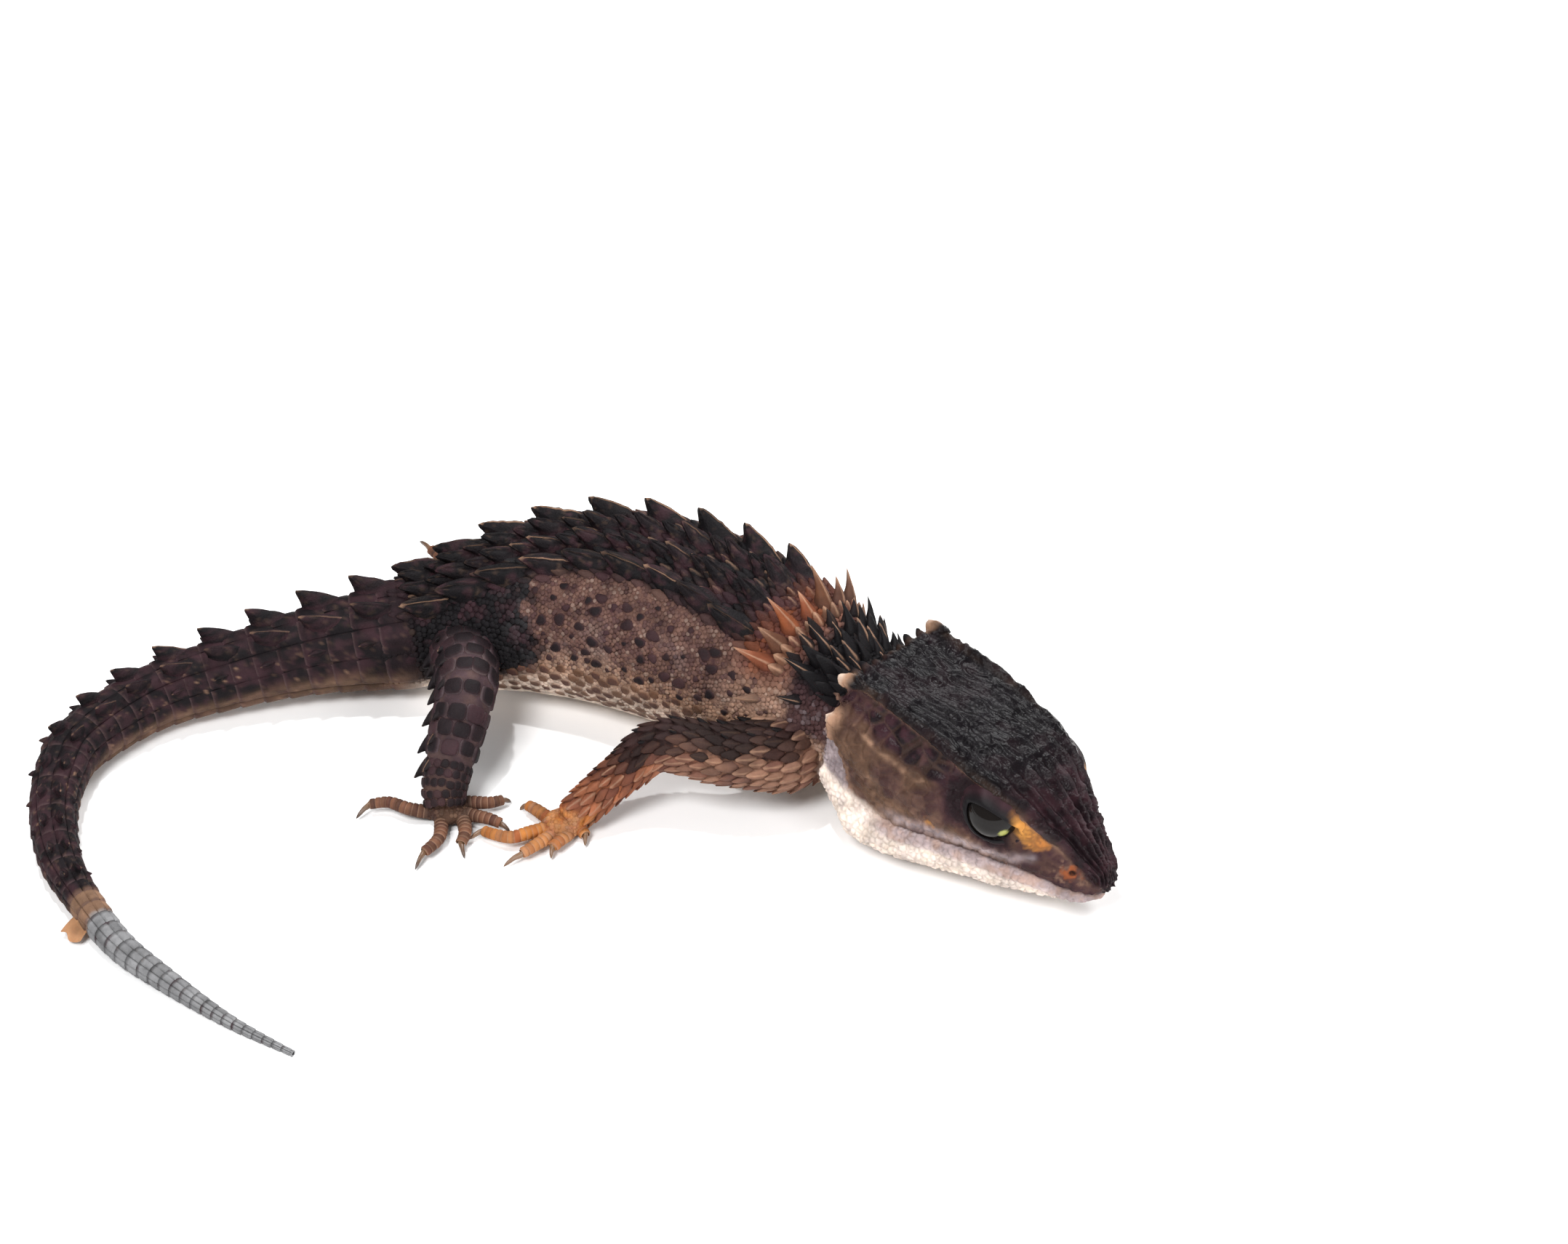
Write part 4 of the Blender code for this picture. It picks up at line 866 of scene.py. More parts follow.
def carve_head(points, normals):
    """Moves the head's points by its height field and draws the eye sockets in."""
    f, a, u = to_head(points).T
    share = ease(-0.5, 0.2, f)
    fine = share > 0.0
    height = np.zeros(len(points))
    height[fine] = head_height(f[fine], a[fine], u[fine])
    carved = points + normals * (height * share)[:, None]
    flat = to_head(carved)
    sides = np.where(flat[:, 1:2] < 0, -1.0, 1.0)
    mirrored = flat * np.hstack([np.ones_like(sides), sides, np.ones_like(sides)])
    inside = almond_share(mirrored)
    chosen = (inside < 1.1) & (mirrored[:, 1] > 3.0) & (f > 10.0)
    away = mirrored - EYE_AT
    depth = np.linalg.norm(away, axis=1, keepdims=True)
    sunk = EYE_AT + away / depth * np.minimum(depth, EYE_RADIUS - 0.3)
    blend = ease(1.1, 0.95, inside)[:, None] * chosen[:, None]
    mirrored = mirrored * (1 - blend) + sunk * blend
    mirrored[:, 1:2] *= sides
    return np.where(chosen[:, None], from_head(mirrored), carved)


skin_points = carve_head(skin_points, get_normals(skin.data))
set_points(skin.data, skin_points)
print("the head is carved")

# %% [markdown]
# The rest of the skin gets only what shows between scales: loose folds behind the jaw and over
# the shoulder, shallow folds down the flank, and a faint unevenness everywhere.

# %% Folds of the body
FOLD_DEPTH = 0.12


def body_height(at):
    """How far the skin of the trunk, tail and legs stands out from the plain form."""
    own = at["points"]
    side = np.abs(at["turn"])
    neck = ease(46.0, 50.0, at["s"])
    folds = np.sin(at["s"] * 1.7 + 2.0 * noise(own * 0.3, 21)) * ease(40.0, 80.0, side)
    trunk = ease(0.0, 12.0, at["s"])
    height = FOLD_DEPTH * folds * (0.45 * trunk + 0.8 * neck)
    height += 0.12 * (noise(own * 0.7, 22) - 0.5) + 0.06 * (noise(own * 2.2, 23) - 0.5)
    return height * (1.0 - at["head"]) * (1.0 - 0.6 * at["foot"])


places = survey(skin_points)
skin_points = skin_points + get_normals(skin.data) * body_height(places)[:, None]
skin_points[:, 2] = np.maximum(skin_points[:, 2], 0.02)
set_points(skin.data, skin_points)
print("lowest point", round(skin_points[:, 2].min(), 3), "mm")


# %% [markdown]
# ## Markings
# The animal is charcoal above and on the helmet, taupe with plum spots on the flank, cream
# below, orange on the forearm and hand, and grey on the last third of the tail. Each colour is a
# share from 0 to 1 at every point, worked out from the survey, and stored as an attribute. The
# materials mix the named colours by these shares, for the skin and for every scale alike.

# %% Shares of the colours
HUES = ("taupe", "plum", "brown", "tan", "cream", "lilac", "rust", "amber", "ash", "charcoal")
MARKS = (*HUES, "gloss")
BACK_PITCH = 4.3
BACK_SPREAD = (2.7, 0.06)
STUMP_FROM, GREY_FROM = -55.6, -58.8
BANDED_TOES = 1.35
ARM_TOP = (0.0, 60.0)
AMBER_PATCH = np.array([(18.7, 5.1, 2.35), (20.4, 4.4, 1.55), (21.7, 3.9, 0.8)])
CHEEK_SPOT_AT = (12.4, 6.8, -2.3)


def back_angle(at, share):
    """The angle from the top at which a row of back shields runs at this distance."""
    across = np.abs(share) * (BACK_SPREAD[0] + BACK_SPREAD[1] * at) / body.frame(at)[4]
    return np.sign(share) * np.degrees(np.arcsin(np.clip(across, 0.0, 1.0) ** 1.1))


def lay(marks, name, share):
    """Lays a colour over the others, so that all the shares always add up to 1."""
    for other in HUES:
        marks[other] = marks[other] * (1.0 - share)
    marks[name] = marks[name] + share


def past_hips(points, s):
    """How far a place lies in front of the ragged edge of the dark hips."""
    return s + 4.6 * (mottle(points * 0.5, 32) - 0.5) - 12.8


def mark_trunk(marks, at):
    """Plum on a taupe flank, charcoal on back, hips and neck, and an orange collar."""
    own, s, side = at["points"], at["s"], np.abs(at["turn"])
    cloud, patch, fleck = (mottle(own * size, 31 + k) for k, size in enumerate((0.3, 0.8, 2.4)))
    edge = back_angle(np.clip(s, 0.0, 40.0), 1.0)
    spots = 0.28 + 0.45 * ease(0.45, 0.7, fleck) + 0.2 * ease(0.5, 0.75, patch)
    lay(marks, "plum", (0.35 + 0.65 * ease(92.0, 74.0, side)) * spots)
    lay(marks, "lilac", 0.1 * ease(0.4, 0.7, cloud) * ease(50.0, 75.0, side))
    lay(marks, "tan", 0.25 * ease(0.4, 0.7, cloud) * ease(60.0, 85.0, side))
    lay(marks, "tan", 0.7 * ease(78.0, 96.0, side))
    # The cream low on the flank is partly the pale underside and partly painted bounce light that
    # lightens the lower side.
    lay(marks, "cream", 0.55 * ease(92.0, 112.0, side) * (0.7 + 0.3 * patch))
    lay(marks, "cream", 0.5 * ease(112.0, 135.0, side))
    lay(marks, "tan", 0.4 * ease(36.0, 41.0, s) * ease(45.0, 70.0, side))
    hips = ease(0.5, -0.5, past_hips(own, s)) * ease(122.0, 104.0, side + 1.4 * np.clip(s, 0, 20))
    back = ease(9.0, 0.0, side - edge - 6.0 * patch) * ease(44.0, 39.0, s)
    dark = np.maximum(hips, back)
    lay(marks, "plum", dark)
    lay(marks, "brown", 0.5 * back * ease(0.55, 0.75, cloud))
    lay(marks, "charcoal", dark * (1.0 - 0.8 * ease(0.5, 0.75, patch)))
    groin = bell(s - 11.2, 1.7) * ease(115.0, 80.0, side)
    lay(marks, "ash", 0.08 * groin * ease(0.35, 0.7, fleck))
    collar = bell(s - 40.9, 2.1) * ease(66.0, 44.0, side + 8.0 * (patch - 0.5))
    lay(marks, "rust", 0.65 * collar)
    lay(marks, "plum", 0.75 * collar * ease(0.25, 0.6, patch))
    neck = ease(43.6, 44.8, s + 1.2 * (patch - 0.5))
    lay(marks, "plum", 0.9 * neck * ease(104.0, 84.0, side) * ease(0.0, 0.2, fleck))
    lay(marks, "charcoal", neck * ease(60.0, 42.0, side + 16.0 * (patch - 0.5)))
    lay(marks, "lilac", 0.2 * neck * ease(50.0, 65.0, side) * ease(0.55, 0.75, fleck))
    lay(marks, "tan", 0.5 * neck * ease(84.0, 104.0, side))


def mark_tail(marks, at):
    """A dark tail with tan flecks, a brown stump of the old tail and a grey last third."""
    own, s, side = at["points"], at["s"], np.abs(at["turn"])
    patch, fleck = mottle(own * 0.7, 35), mottle(own * 1.9, 36)
    tail = ease(1.0, -3.0, s) * at["on_body"]
    lay(marks, "plum", tail)
    lay(marks, "charcoal", tail * (0.95 - 0.75 * ease(0.45, 0.7, patch)))
    flecks = ease(0.7, 0.82, fleck) * ease(20.0, 40.0, side) * ease(0.35, 0.6, patch)
    lay(marks, "tan", 0.45 * tail * flecks)
    lay(marks, "brown", 0.4 * tail * ease(90.0, 106.0, side + 10.0 * patch))
    lay(marks, "tan", 0.2 * tail * ease(94.0, 110.0, side + 10.0 * patch) * (0.5 + fleck))
    lay(marks, "tan", 0.45 * tail * ease(125.0, 150.0, side))
    lay(marks, "brown", ease(STUMP_FROM + 0.5, STUMP_FROM - 0.4, s) * at["on_body"])
    stump = ease(STUMP_FROM + 0.4, STUMP_FROM - 0.4, s) * at["on_body"]
    lay(marks, "tan", 0.4 * stump * (0.6 + 0.5 * fleck))
    grey = ease(GREY_FROM + 0.3, GREY_FROM - 0.3, s + 0.8 * (patch - 0.5)) * at["on_body"]
    lay(marks, "ash", grey)
    lay(marks, "charcoal", 0.25 * grey * ease(0.5, 0.8, patch))


def mark_legs(marks, at):
    """Plum hind legs, fore legs that turn from charcoal and tan to orange, and banded toes."""
    own, share = at["points"], at["leg_s"]
    patch, fleck = mottle(own * 1.1, 37), mottle(own * 2.5, 38)
    hind = (at["leg"] < 2) * at["on_leg"]
    fore = (at["leg"] >= 2) * at["on_leg"]
    lay(marks, "plum", hind)
    lay(marks, "brown", 0.3 * hind * ease(0.4, 0.7, patch))
    lay(marks, "lilac", 0.05 * hind)
    lay(marks, "brown", 0.6 * hind * ease(0.8, 1.0, share))
    lay(marks, "plum", 0.8 * fore)
    lay(marks, "rust", 0.22 * fore)
    lay(marks, "tan", 0.3 * fore * ease(0.25, 0.6, patch))
    lay(marks, "rust", 0.7 * fore * ease(0.5, 0.78, share))
    lay(marks, "plum", 0.4 * fore * ease(0.5, 0.6, share) * ease(0.6, 0.35, patch))
    top = np.abs((at["leg_turn"] - ARM_TOP[0] + 180.0) % 360.0 - 180.0)
    top = np.where(at["leg"] == 3, np.abs(at["leg_turn"] - ARM_TOP[1]), top)
    top = top + 95.0 * (fleck - 0.5) + 60.0 * (patch - 0.5)
    dark = ease(92.0, 36.0, top) * ease(0.9, 0.7, share) * ease(0.1, 0.3, share)
    lay(marks, "charcoal", 0.9 * fore * dark)
    lay(marks, "plum", 0.3 * fore * dark * ease(0.4, 0.6, patch))
    bands = 0.5 + 0.5 * np.sin(at["toe_s"] * 2.0 * math.pi / BANDED_TOES)
    foot = at["foot"] * (1.0 - at["head"])
    hind_foot, hand = foot * (at["leg"] < 2), foot * (at["leg"] >= 2)
    lay(marks, "brown", hind_foot * 0.9)
    lay(marks, "plum", hind_foot * (0.25 + 0.4 * ease(0.4, 0.7, patch)))
    lay(marks, "rust", hind_foot * ease(1.2, 2.6, at["toe_s"]) * (0.1 + 0.45 * bands * patch))
    lay(marks, "tan", hind_foot * ease(1.6, 3.0, at["toe_s"]) * 0.16 * bands)
    lay(marks, "rust", hand)
    lay(marks, "amber", 0.45 * hand * ease(0.3, 0.8, fleck + 0.3 * bands))
    lay(marks, "tan", 0.4 * hand * ease(0.3, 0.7, patch))


# %% [markdown]
# The head has the most colours, laid in the order in which a painter would work: the brown
# cheek and the dark temple, the pale jaw and lips, the orange patches, the rings round the eye,
# and last the black helmet with its pale ridges and knobs.

# %% Shares on the head


def mark_head(marks, at):
    """The markings of the head, each one only where the head is."""
    f, a, u, own = at["f"], np.abs(at["a"]), at["u"], at["points"]
    flat = np.column_stack([f, a, u])
    cloud, blot, fleck = (mottle(own * size, 41 + k) for k, size in enumerate((0.4, 1.0, 2.6)))
    crown = crown_share(f, a, u)
    aside = 1.0 - crown
    over, above_temple = u - height_on(mouth_path, f), u - height_on(temple_path, f)
    brow, temple, edge, stripe = (line_distance(flat, path)[0] for path in
                                  (brow_path, temple_path, plate_path, stripe_path))
    inside, number = np.full(len(f), 0.5), np.full(len(f), 0.5)
    close = at["head"] > 0.0
    inside[close], number[close] = head_scales(f[close], at["a"][close], u[close])
    seam = ease(0.14, 0.03, inside)

    def paint(name, share):
        lay(marks, name, at["head"] * share)

    paint("brown", 1.0)
    paint("plum", 0.25 + 0.55 * ease(0.4, 0.7, cloud))
    paint("tan", 0.3 * ease(0.3, 0.8, blot) * ease(2.0, -3.0, u) * ease(20.5, 17.5, f))
    snout = ease(19.5, 21.0, f) * aside
    paint("plum", snout * (0.78 + 0.2 * ease(0.4, 0.6, 0.7 * blot + 0.3 * number)))
    upper = ease(0.3, 1.2, above_temple + 0.5 * (blot - 0.5)) * ease(14.5, 12.5, f) * aside
    paint("plum", upper)
    dark_scales = ease(0.4, 0.62, 0.75 * blot + 0.25 * number)
    paint("charcoal", 0.8 * upper * dark_scales * ease(1.0, 4.0, f))
    paint("tan", 0.07 * seam * aside * ease(-5.0, -3.5, u) * (over > 0.0))
    behind = ease(0.1, -0.5, f - plate_edge(u))
    paint("lilac", 0.9 * behind * ease(1.8, 0.4, u) * (0.55 + 0.4 * blot))
    paint("plum", behind * ease(1.8, 0.4, u) * (0.14 + 0.35 * ease(0.5, 0.75, fleck)))
    paint("tan", 0.75 * bell(edge, 0.5) * (0.5 + 0.5 * blot))
    jaw = ease(-0.5, -1.4, over) * ease(26.0, 24.0, f)
    jaw = np.maximum(jaw, ease(-4.4, -5.6, u) * ease(9.0, 6.0, f))
    paint("cream", jaw * (0.85 + 0.1 * blot))
    paint("lilac", 0.3 * jaw * ease(0.3, 0.6, blot))
    paint("tan", 0.25 * jaw * ease(0.6, 0.8, fleck))
    paint("brown", 0.12 * seam * (jaw + behind * ease(2.0, 0.5, u)).clip(0, 1))
    lips = ease(0.1, -0.1, over) * ease(-1.5, -1.1, over) * ease(7.0, 9.0, f)
    paint("lilac", 0.7 * lips)
    paint("tan", lips * (0.15 + 0.4 * ease(0.4, 0.7, blot)))
    band = bell(over - 1.0 - 0.25 * ease(17.0, 21.0, f), 0.55) * ease(7.0, 10.0, f)
    band = band * ease(21.5, 19.5, f) * (0.6 + 0.6 * blot)
    paint("lilac", np.clip(0.3 * bell(stripe, 0.4) * (0.4 + blot) + 0.5 * band, 0.0, 0.9))
    paint("tan", 0.35 * band * ease(0.45, 0.7, fleck))
    paint("plum", 0.5 * bell(over - 0.1, 0.25) * ease(14.0, 17.0, f) * aside)
    amber, along = line_distance(flat, AMBER_PATCH)
    amber = ease(0.85, 0.35, amber + 0.9 * (blot - 0.5) + 0.5 * (fleck - 0.5) - 0.1 * along)
    paint("amber", 0.85 * aside * amber)
    paint("rust", 0.5 * aside * amber * ease(20.4, 22.0, f + 1.5 * (fleck - 0.5)))
    paint("brown", 0.5 * aside * amber * np.maximum(seam, ease(0.55, 0.75, fleck)))
    hole = np.linalg.norm((flat - NOSTRIL_AT) * [0.75, 0.3, 1.0], axis=1)
    blotch = hole + 1.4 * (blot - 0.5) + 0.7 * (fleck - 0.5)
    paint("rust", 0.8 * ease(0.75, 0.25, blotch) * (a > 1.0))
    paint("tan", 0.35 * ease(0.5, 0.7, fleck) * bell(hole - 0.9, 0.4))
    spot = np.linalg.norm((flat - CHEEK_SPOT_AT) * [0.7, 1.0, 1.2], axis=1)
    paint("amber", 0.5 * ease(0.9, 0.1, spot + 1.1 * (fleck - 0.5) + 0.6 * (blot - 0.5)))
    ring = almond_share(flat) - 0.6 * ease(16.5, 13.6, f) + 0.3 * (fleck - 0.5)
    beside = aside * ease(19.3, 18.3, f + 0.8 * (u - 1.0))
    paint("plum", 0.9 * ease(1.95, 1.35, ring) * beside)
    paint("charcoal", 0.7 * ease(1.6, 1.2, ring) * beside)
    paint("charcoal", np.maximum(crown, ease(0.2, -0.4, f) * ease(-3.0, 2.0, u)))
    # The pale lilac on the crests of the snout's ridges is a painted highlight.
    painted_ridge_highlight = ease(0.2, 0.8, np.cos(7.0 * math.pi * at["a"] / snout_width(f)))
    snout = crown * ease(16.0, 21.0, f)
    paint("plum", snout * (0.2 + 0.55 * ease(0.4, 0.65, blot)))
    paint("lilac", 0.05 * snout * painted_ridge_highlight * (0.3 + blot))
    paint("plum", 0.15 * crown * ease(0.5, 0.75, cloud))
    ridge = bell(brow, 0.36) * (1.0 - 0.85 * ease(0.3, 1.0, crown)) * ease(25.5, 22.0, f)
    paint("tan", 0.85 * ridge * (0.4 + 0.7 * blot))
    paint("brown", 0.5 * ridge * ease(0.5, 0.25, blot))
    paint("tan", 0.75 * bell(temple, 0.24) * ease(0.3, 0.6, blot))
    # The charcoal in the nostril is painted shade inside the hole.
    paint("charcoal", 0.9 * ease(0.3, 0.16, hole) * (a < 3.6))
    tips = [np.array([ahead, across, rise]) + KNOB_WAY * (tall + 0.5)
            for ahead, across, rise, tall, _ in CORNER_KNOBS]
    knob = np.min([np.linalg.norm(flat - tip, axis=1) for tip in tips], axis=0)
    knob = knob + 0.6 * (blot - 0.5)
    paint("tan", 0.9 * ease(2.2, 1.0, knob))
    paint("cream", 0.4 * ease(1.2, 0.3, knob))
    gloss = 0.95 * crown + 0.7 * upper + 0.5 * lips + 0.4 * aside
    marks["gloss"] = np.clip(marks["gloss"] + at["head"] * gloss, 0, 1)


# %% [markdown]
# Each part of the body adds its own markings over the ones before, and a point that lies on
# none of them keeps the shares that it has. The shares are kept on the skin as attributes.

# %% All the markings


def markings(at):
    """The share of each colour at surveyed points."""
    marks = {name: np.zeros(len(at["points"])) for name in MARKS}
    marks["taupe"] += 1.0
    mark_trunk(marks, at)
    mark_tail(marks, at)
    mark_legs(marks, at)
    mark_head(marks, at)
    return marks


def give_attribute(mesh, name, values):
    mesh.attributes.new(name, "FLOAT", "POINT").data.foreach_set(
        "value", np.asarray(values, np.float32).ravel())


places = survey(skin_points)
skin_marks = markings(places)
for name in MARKS:
    give_attribute(skin.data, name, skin_marks[name])
print("shares on the skin:", {name: round(float(skin_marks[name].mean()), 2) for name in MARKS})

# %% [markdown]
# ## Materials from the markings
# Every finish is a small net of nodes, and it could be set up by hand. Small helpers start a
# material, add a node and fill its sockets instead, so that a finish reads as a list. A number
# stays in its socket, and the output of another node is linked to it.

# %% Helpers for materials


def set_sockets(node, sockets):
    """Sets sockets of a node by name or number, and links those that get an output."""
    for socket, value in sockets.items():
        if isinstance(value, bpy.types.NodeSocket):
            node.id_data.links.new(value, node.inputs[socket])
        else:
            node.inputs[socket].default_value = value


def start_material(name, **sockets):
    """A material and its shader; underscores in the sockets' names stand for spaces."""
    material = bpy.data.materials.new(name)
    material.use_nodes = True
    shader = material.node_tree.nodes["Principled BSDF"]
    set_sockets(shader, {socket.replace("_", " "): value for socket, value in sockets.items()})
    return material, shader


def add_node(material, kind, sockets=None, output=0, **settings):
    """Adds a node with its settings and sockets, and gives back one of its outputs."""
    node = material.node_tree.nodes.new("ShaderNode" + kind)
    for name, value in settings.items():
        setattr(node, name, value)
    set_sockets(node, sockets or {})
    return node.outputs[output]


def read_attribute(material, name):
    return add_node(material, "Attribute", output="Fac", attribute_name=name)


def two_tones(material, share, low, high):
    """A colour that goes from the low tone to the high one with the share."""
    colour = add_node(material, "ValToRGB", {"Fac": share}, output="Color")
    for element, tone in zip(colour.node.color_ramp.elements, (low, high)):
        element.color = (*tone, 1.0)
    return colour


# %% [markdown]
# All skin and scales make their colour in one way, a sum of the named colours, each times its
# share. What differs is the finish. A fine cell pattern in the bump stands for the smallest
# granules, noise breaks up the roughness, and the glossy parts are smoother.

# %% Named colours and the marked material
COLOURS = {
    "taupe": (0.158, 0.086, 0.064), "plum": (0.034, 0.015, 0.019), "brown": (0.085, 0.047, 0.028),
    "tan": (0.34, 0.2, 0.13), "cream": (0.82, 0.7, 0.6), "lilac": (0.46, 0.39, 0.41),
    "rust": (0.26, 0.072, 0.024), "amber": (0.52, 0.23, 0.052), "ash": (0.2, 0.2, 0.205),
    "charcoal": (0.006, 0.005, 0.006),
}
DUST_SIZE = 1.6
FLESH_REACH = (1.0, 0.45, 0.3)


def marked_material(name, grain=0.35, depth=0.35, rough=(0.62, 0.3), glow=0.0, shine=0.13):
    """A skin finish that mixes the named colours by the markings; sizes in millimetres."""
    material, shader = start_material(name, Specular_IOR_Level=shine)
    place = add_node(material, "TexCoord", output="Object")
    colour = (0.0, 0.0, 0.0)
    for hue in HUES:
        parts = {0: COLOURS[hue], 1: read_attribute(material, hue), 2: colour}
        colour = add_node(material, "VectorMath", parts, operation="MULTIPLY_ADD")
    dust = add_node(material, "TexNoise", {"Vector": place, "Scale": 1.0 / (DUST_SIZE * MM),
                                           "Detail": 4.0}, output="Fac")
    light = add_node(material, "MapRange", {"Value": dust, "From Min": 0.3, "From Max": 0.7,
                                            "To Min": 0.72, "To Max": 1.28})
    lift = add_node(material, "Math", {0: light, 1: read_attribute(material, "tone")})
    shade = add_node(material, "HueSaturation", {"Value": lift, "Color": colour})
    finish = add_node(material, "MapRange", {"Value": read_attribute(material, "gloss"),
                                             "To Min": rough[0], "To Max": rough[1]})
    uneven = add_node(material, "Math", {0: dust, 1: 0.24, 2: finish}, operation="MULTIPLY_ADD")
    cell_gap = add_node(material, "TexVoronoi", {"Vector": place, "Scale": 1.0 / (grain * MM)},
                        output="Distance")
    waves = add_node(material, "TexNoise", {"Vector": place, "Scale": 2.0 / (grain * MM),
                                            "Detail": 3.0}, output="Fac")
    relief = add_node(material, "Math", {0: cell_gap, 1: -0.8, 2: waves}, operation="MULTIPLY_ADD")
    bump = add_node(material, "Bump", {"Strength": depth, "Distance": 0.25 * grain * MM,
                                       "Height": relief})
    set_sockets(shader, {"Base Color": shade, "Roughness": uneven, "Normal": bump})
    if glow:
        set_sockets(shader, {"Subsurface Weight": glow, "Subsurface Radius": FLESH_REACH,
                             "Subsurface Scale": 0.5 * MM})
    return material


give_attribute(skin.data, "tone", 0.08 * (noise(skin_points * 0.5, 51) - 0.5))
skin.data.materials.append(marked_material("lizard_skin", grain=0.3, depth=0.6, rough=(0.6, 0.02),
                                            glow=0.06, shine=0.07))
print("materials:", [material.name for material in bpy.data.materials])
# %% [markdown]
# ## Making scales
# A scale could be modelled once and scattered as instances, but the finished model keeps only
# real faces, so every scale is stamped out as its own small shell and thousands are joined into
# one mesh. Three stamps serve the whole animal: a hooked thorn for keeled shields and spines, a
# low dome for granules, and a curved plate that follows a tail or a toe.

# %% Where scales sit


def lie(line, s, turn, grow=-0.1):
    """The root of a scale on a line's skin, and its backward and outward directions."""
    forward = unit(line.skin(s + 0.4, turn) - line.skin(s - 0.4, turn))
    around = unit(line.skin(s, turn + 3.0) - line.skin(s, turn - 3.0))
    return line.skin(s, turn, grow), -forward, unit(np.cross(forward, around))


def around_arcs(line, s, count=91):
    """Distances round one side of the skin from the top, and the angles they belong to."""
    turns = np.linspace(0.0, 180.0, count)
    ring = line.skin(np.full(count, s), turns)
    return np.concatenate([[0.0], np.cumsum(np.linalg.norm(np.diff(ring, axis=0), axis=1))]), turns


def scatter(line, start, end, low, high, pitch, rng, jitter=0.2, rows=0.87):
    """Places of scales in staggered rows round both sides, between two angles from the top."""
    found_s, found_turn = [], []
    steps = max(1, int(round((end - start) / (pitch * rows))))
    for k in range(steps):
        s = start + (end - start) * (k + 0.5) / steps
        arcs, turns = around_arcs(line, s)
        first, last = (np.interp(limit(s) if callable(limit) else limit, turns, arcs)
                       for limit in (low, high))
        for side in (-1.0, 1.0):
            places = np.arange(first + pitch * (0.25 + 0.5 * (k % 2)), last, pitch)
            places = places + rng.normal(0.0, jitter * pitch * 0.5, len(places))
            found_turn.append(side * np.interp(places, arcs, turns))
            found_s.append(s + rng.normal(0.0, jitter * pitch * 0.5, len(places)))
    return np.concatenate(found_s), np.concatenate(found_turn)


def clear_of(others, gap, s, turn):
    """The places on the body that stay at least a gap away from the roots of larger scales."""
    points = body.skin(s, turn)
    clear = np.ones(len(points), bool)
    for start in range(0, len(points), 4000):
        block = points[start : start + 4000]
        away = ((block[:, None] - others[None]) ** 2).sum(-1)
        clear[start : start + 4000] = (away > np.square(gap)).all(1)
    return s[clear], turn[clear]


# %% [markdown]
# A thorn is a stack of rings that shrink and slide backwards. Its outline is pointed in front
# and behind, so the rings make a keel along the middle, and the last ring is a single point.
# A dome is the same with three low rings, and its outline can be squarish or uneven.

# %% Stamps


class Stamp:
    """Many copies of one small shell: points of each copy, shared faces, and shared shares."""

    def __init__(self, points, faces, tip, keel, flat, roots):
        self.points, self.faces, self.roots = points, faces, roots
        self.tip, self.keel, self.flat = tip[None], keel[None], flat


def column(value, count):
    """One number, or one for each scale, as a column that fits the points of all scales."""
    return np.broadcast_to(np.asarray(value, float), (count,))[:, None, None]


def square_up(lay_of):
    """Roots, and the backward, sideways and outward directions square to one another."""
    root, back, out = lay_of
    back = unit(back - out * np.einsum("ij,ij->i", back, out)[:, None])
    return root, back, np.cross(back, out), out


def capped_rings(rings, sides):
    """Faces of a stack of rings that one point closes on top."""
    faces = [(a, d, c, b) for a, b, c, d in grid_faces(rings, sides, ring=True)]
    top = (rings - 1) * sides
    return faces + [(top + j, top + sides, top + (j + 1) % sides) for j in range(sides)]


def thorns(lay_of, scale, sizes, waist=0.7, sides=10, levels=6, sink=0.5, edge=0.5, rugged=0.0):
    """Hooked and keeled scales. The sizes are length, width, height and lean at a scale of 1,
    and the scale is one number or one for each thorn."""
    root, back, across, out = square_up(lay_of)
    count = len(root)
    long, wide, tall, lean = (column(size * scale, count) for size in sizes)
    shares = np.concatenate([[0.0], np.linspace(0.0, 1.0, levels + 1)[:-1] ** 0.9])
    angle = np.arange(sides) * 2.0 * math.pi / sides
    ring_x, ring_y = -np.cos(angle), np.sin(angle) * np.abs(np.sin(angle)) ** edge
    size = (1.0 - shares) ** (math.log(waist) / math.log(0.5))
    x = (size[:, None] * ring_x).ravel()[None, :, None]
    y = (size[:, None] * ring_y).ravel()[None, :, None]
    level = np.repeat(shares, sides)[None, :, None]
    below = np.repeat(np.arange(levels + 1) == 0, sides)[None, :, None]
    points = (root[:, None] + back[:, None] * (x * long / 2 + lean * level ** 1.47)
              + across[:, None] * (y * wide / 2)
              + out[:, None] * (tall * level - column(sink, count) * below))
    if rugged:
        relief = wrinkle(points.reshape(-1, 3) * 1.15, 73).reshape(points.shape[:2])[..., None]
        flutes = np.sin(5.0 * np.tile(angle, levels + 1))[None, :, None] * (1.0 - below)
        points = points + out[:, None] * (rugged * (relief - 0.6) * (1.0 - level ** 4))
        points = points + out[:, None] * (0.3 * rugged * flutes)
    tips = root[:, None] + back[:, None] * lean + out[:, None] * tall
    tip = np.concatenate([np.repeat(shares, sides), [1.0]])
    keel = np.concatenate([np.tile((np.cos(angle) > 0.99) * 1.0, levels + 1), [1.0]])
    flat = np.column_stack([np.append(x, 0.0), np.append(y, 0.0)])
    return Stamp(np.concatenate([points, tips], axis=1), capped_rings(levels + 1, sides),
                 tip, keel, flat, root)


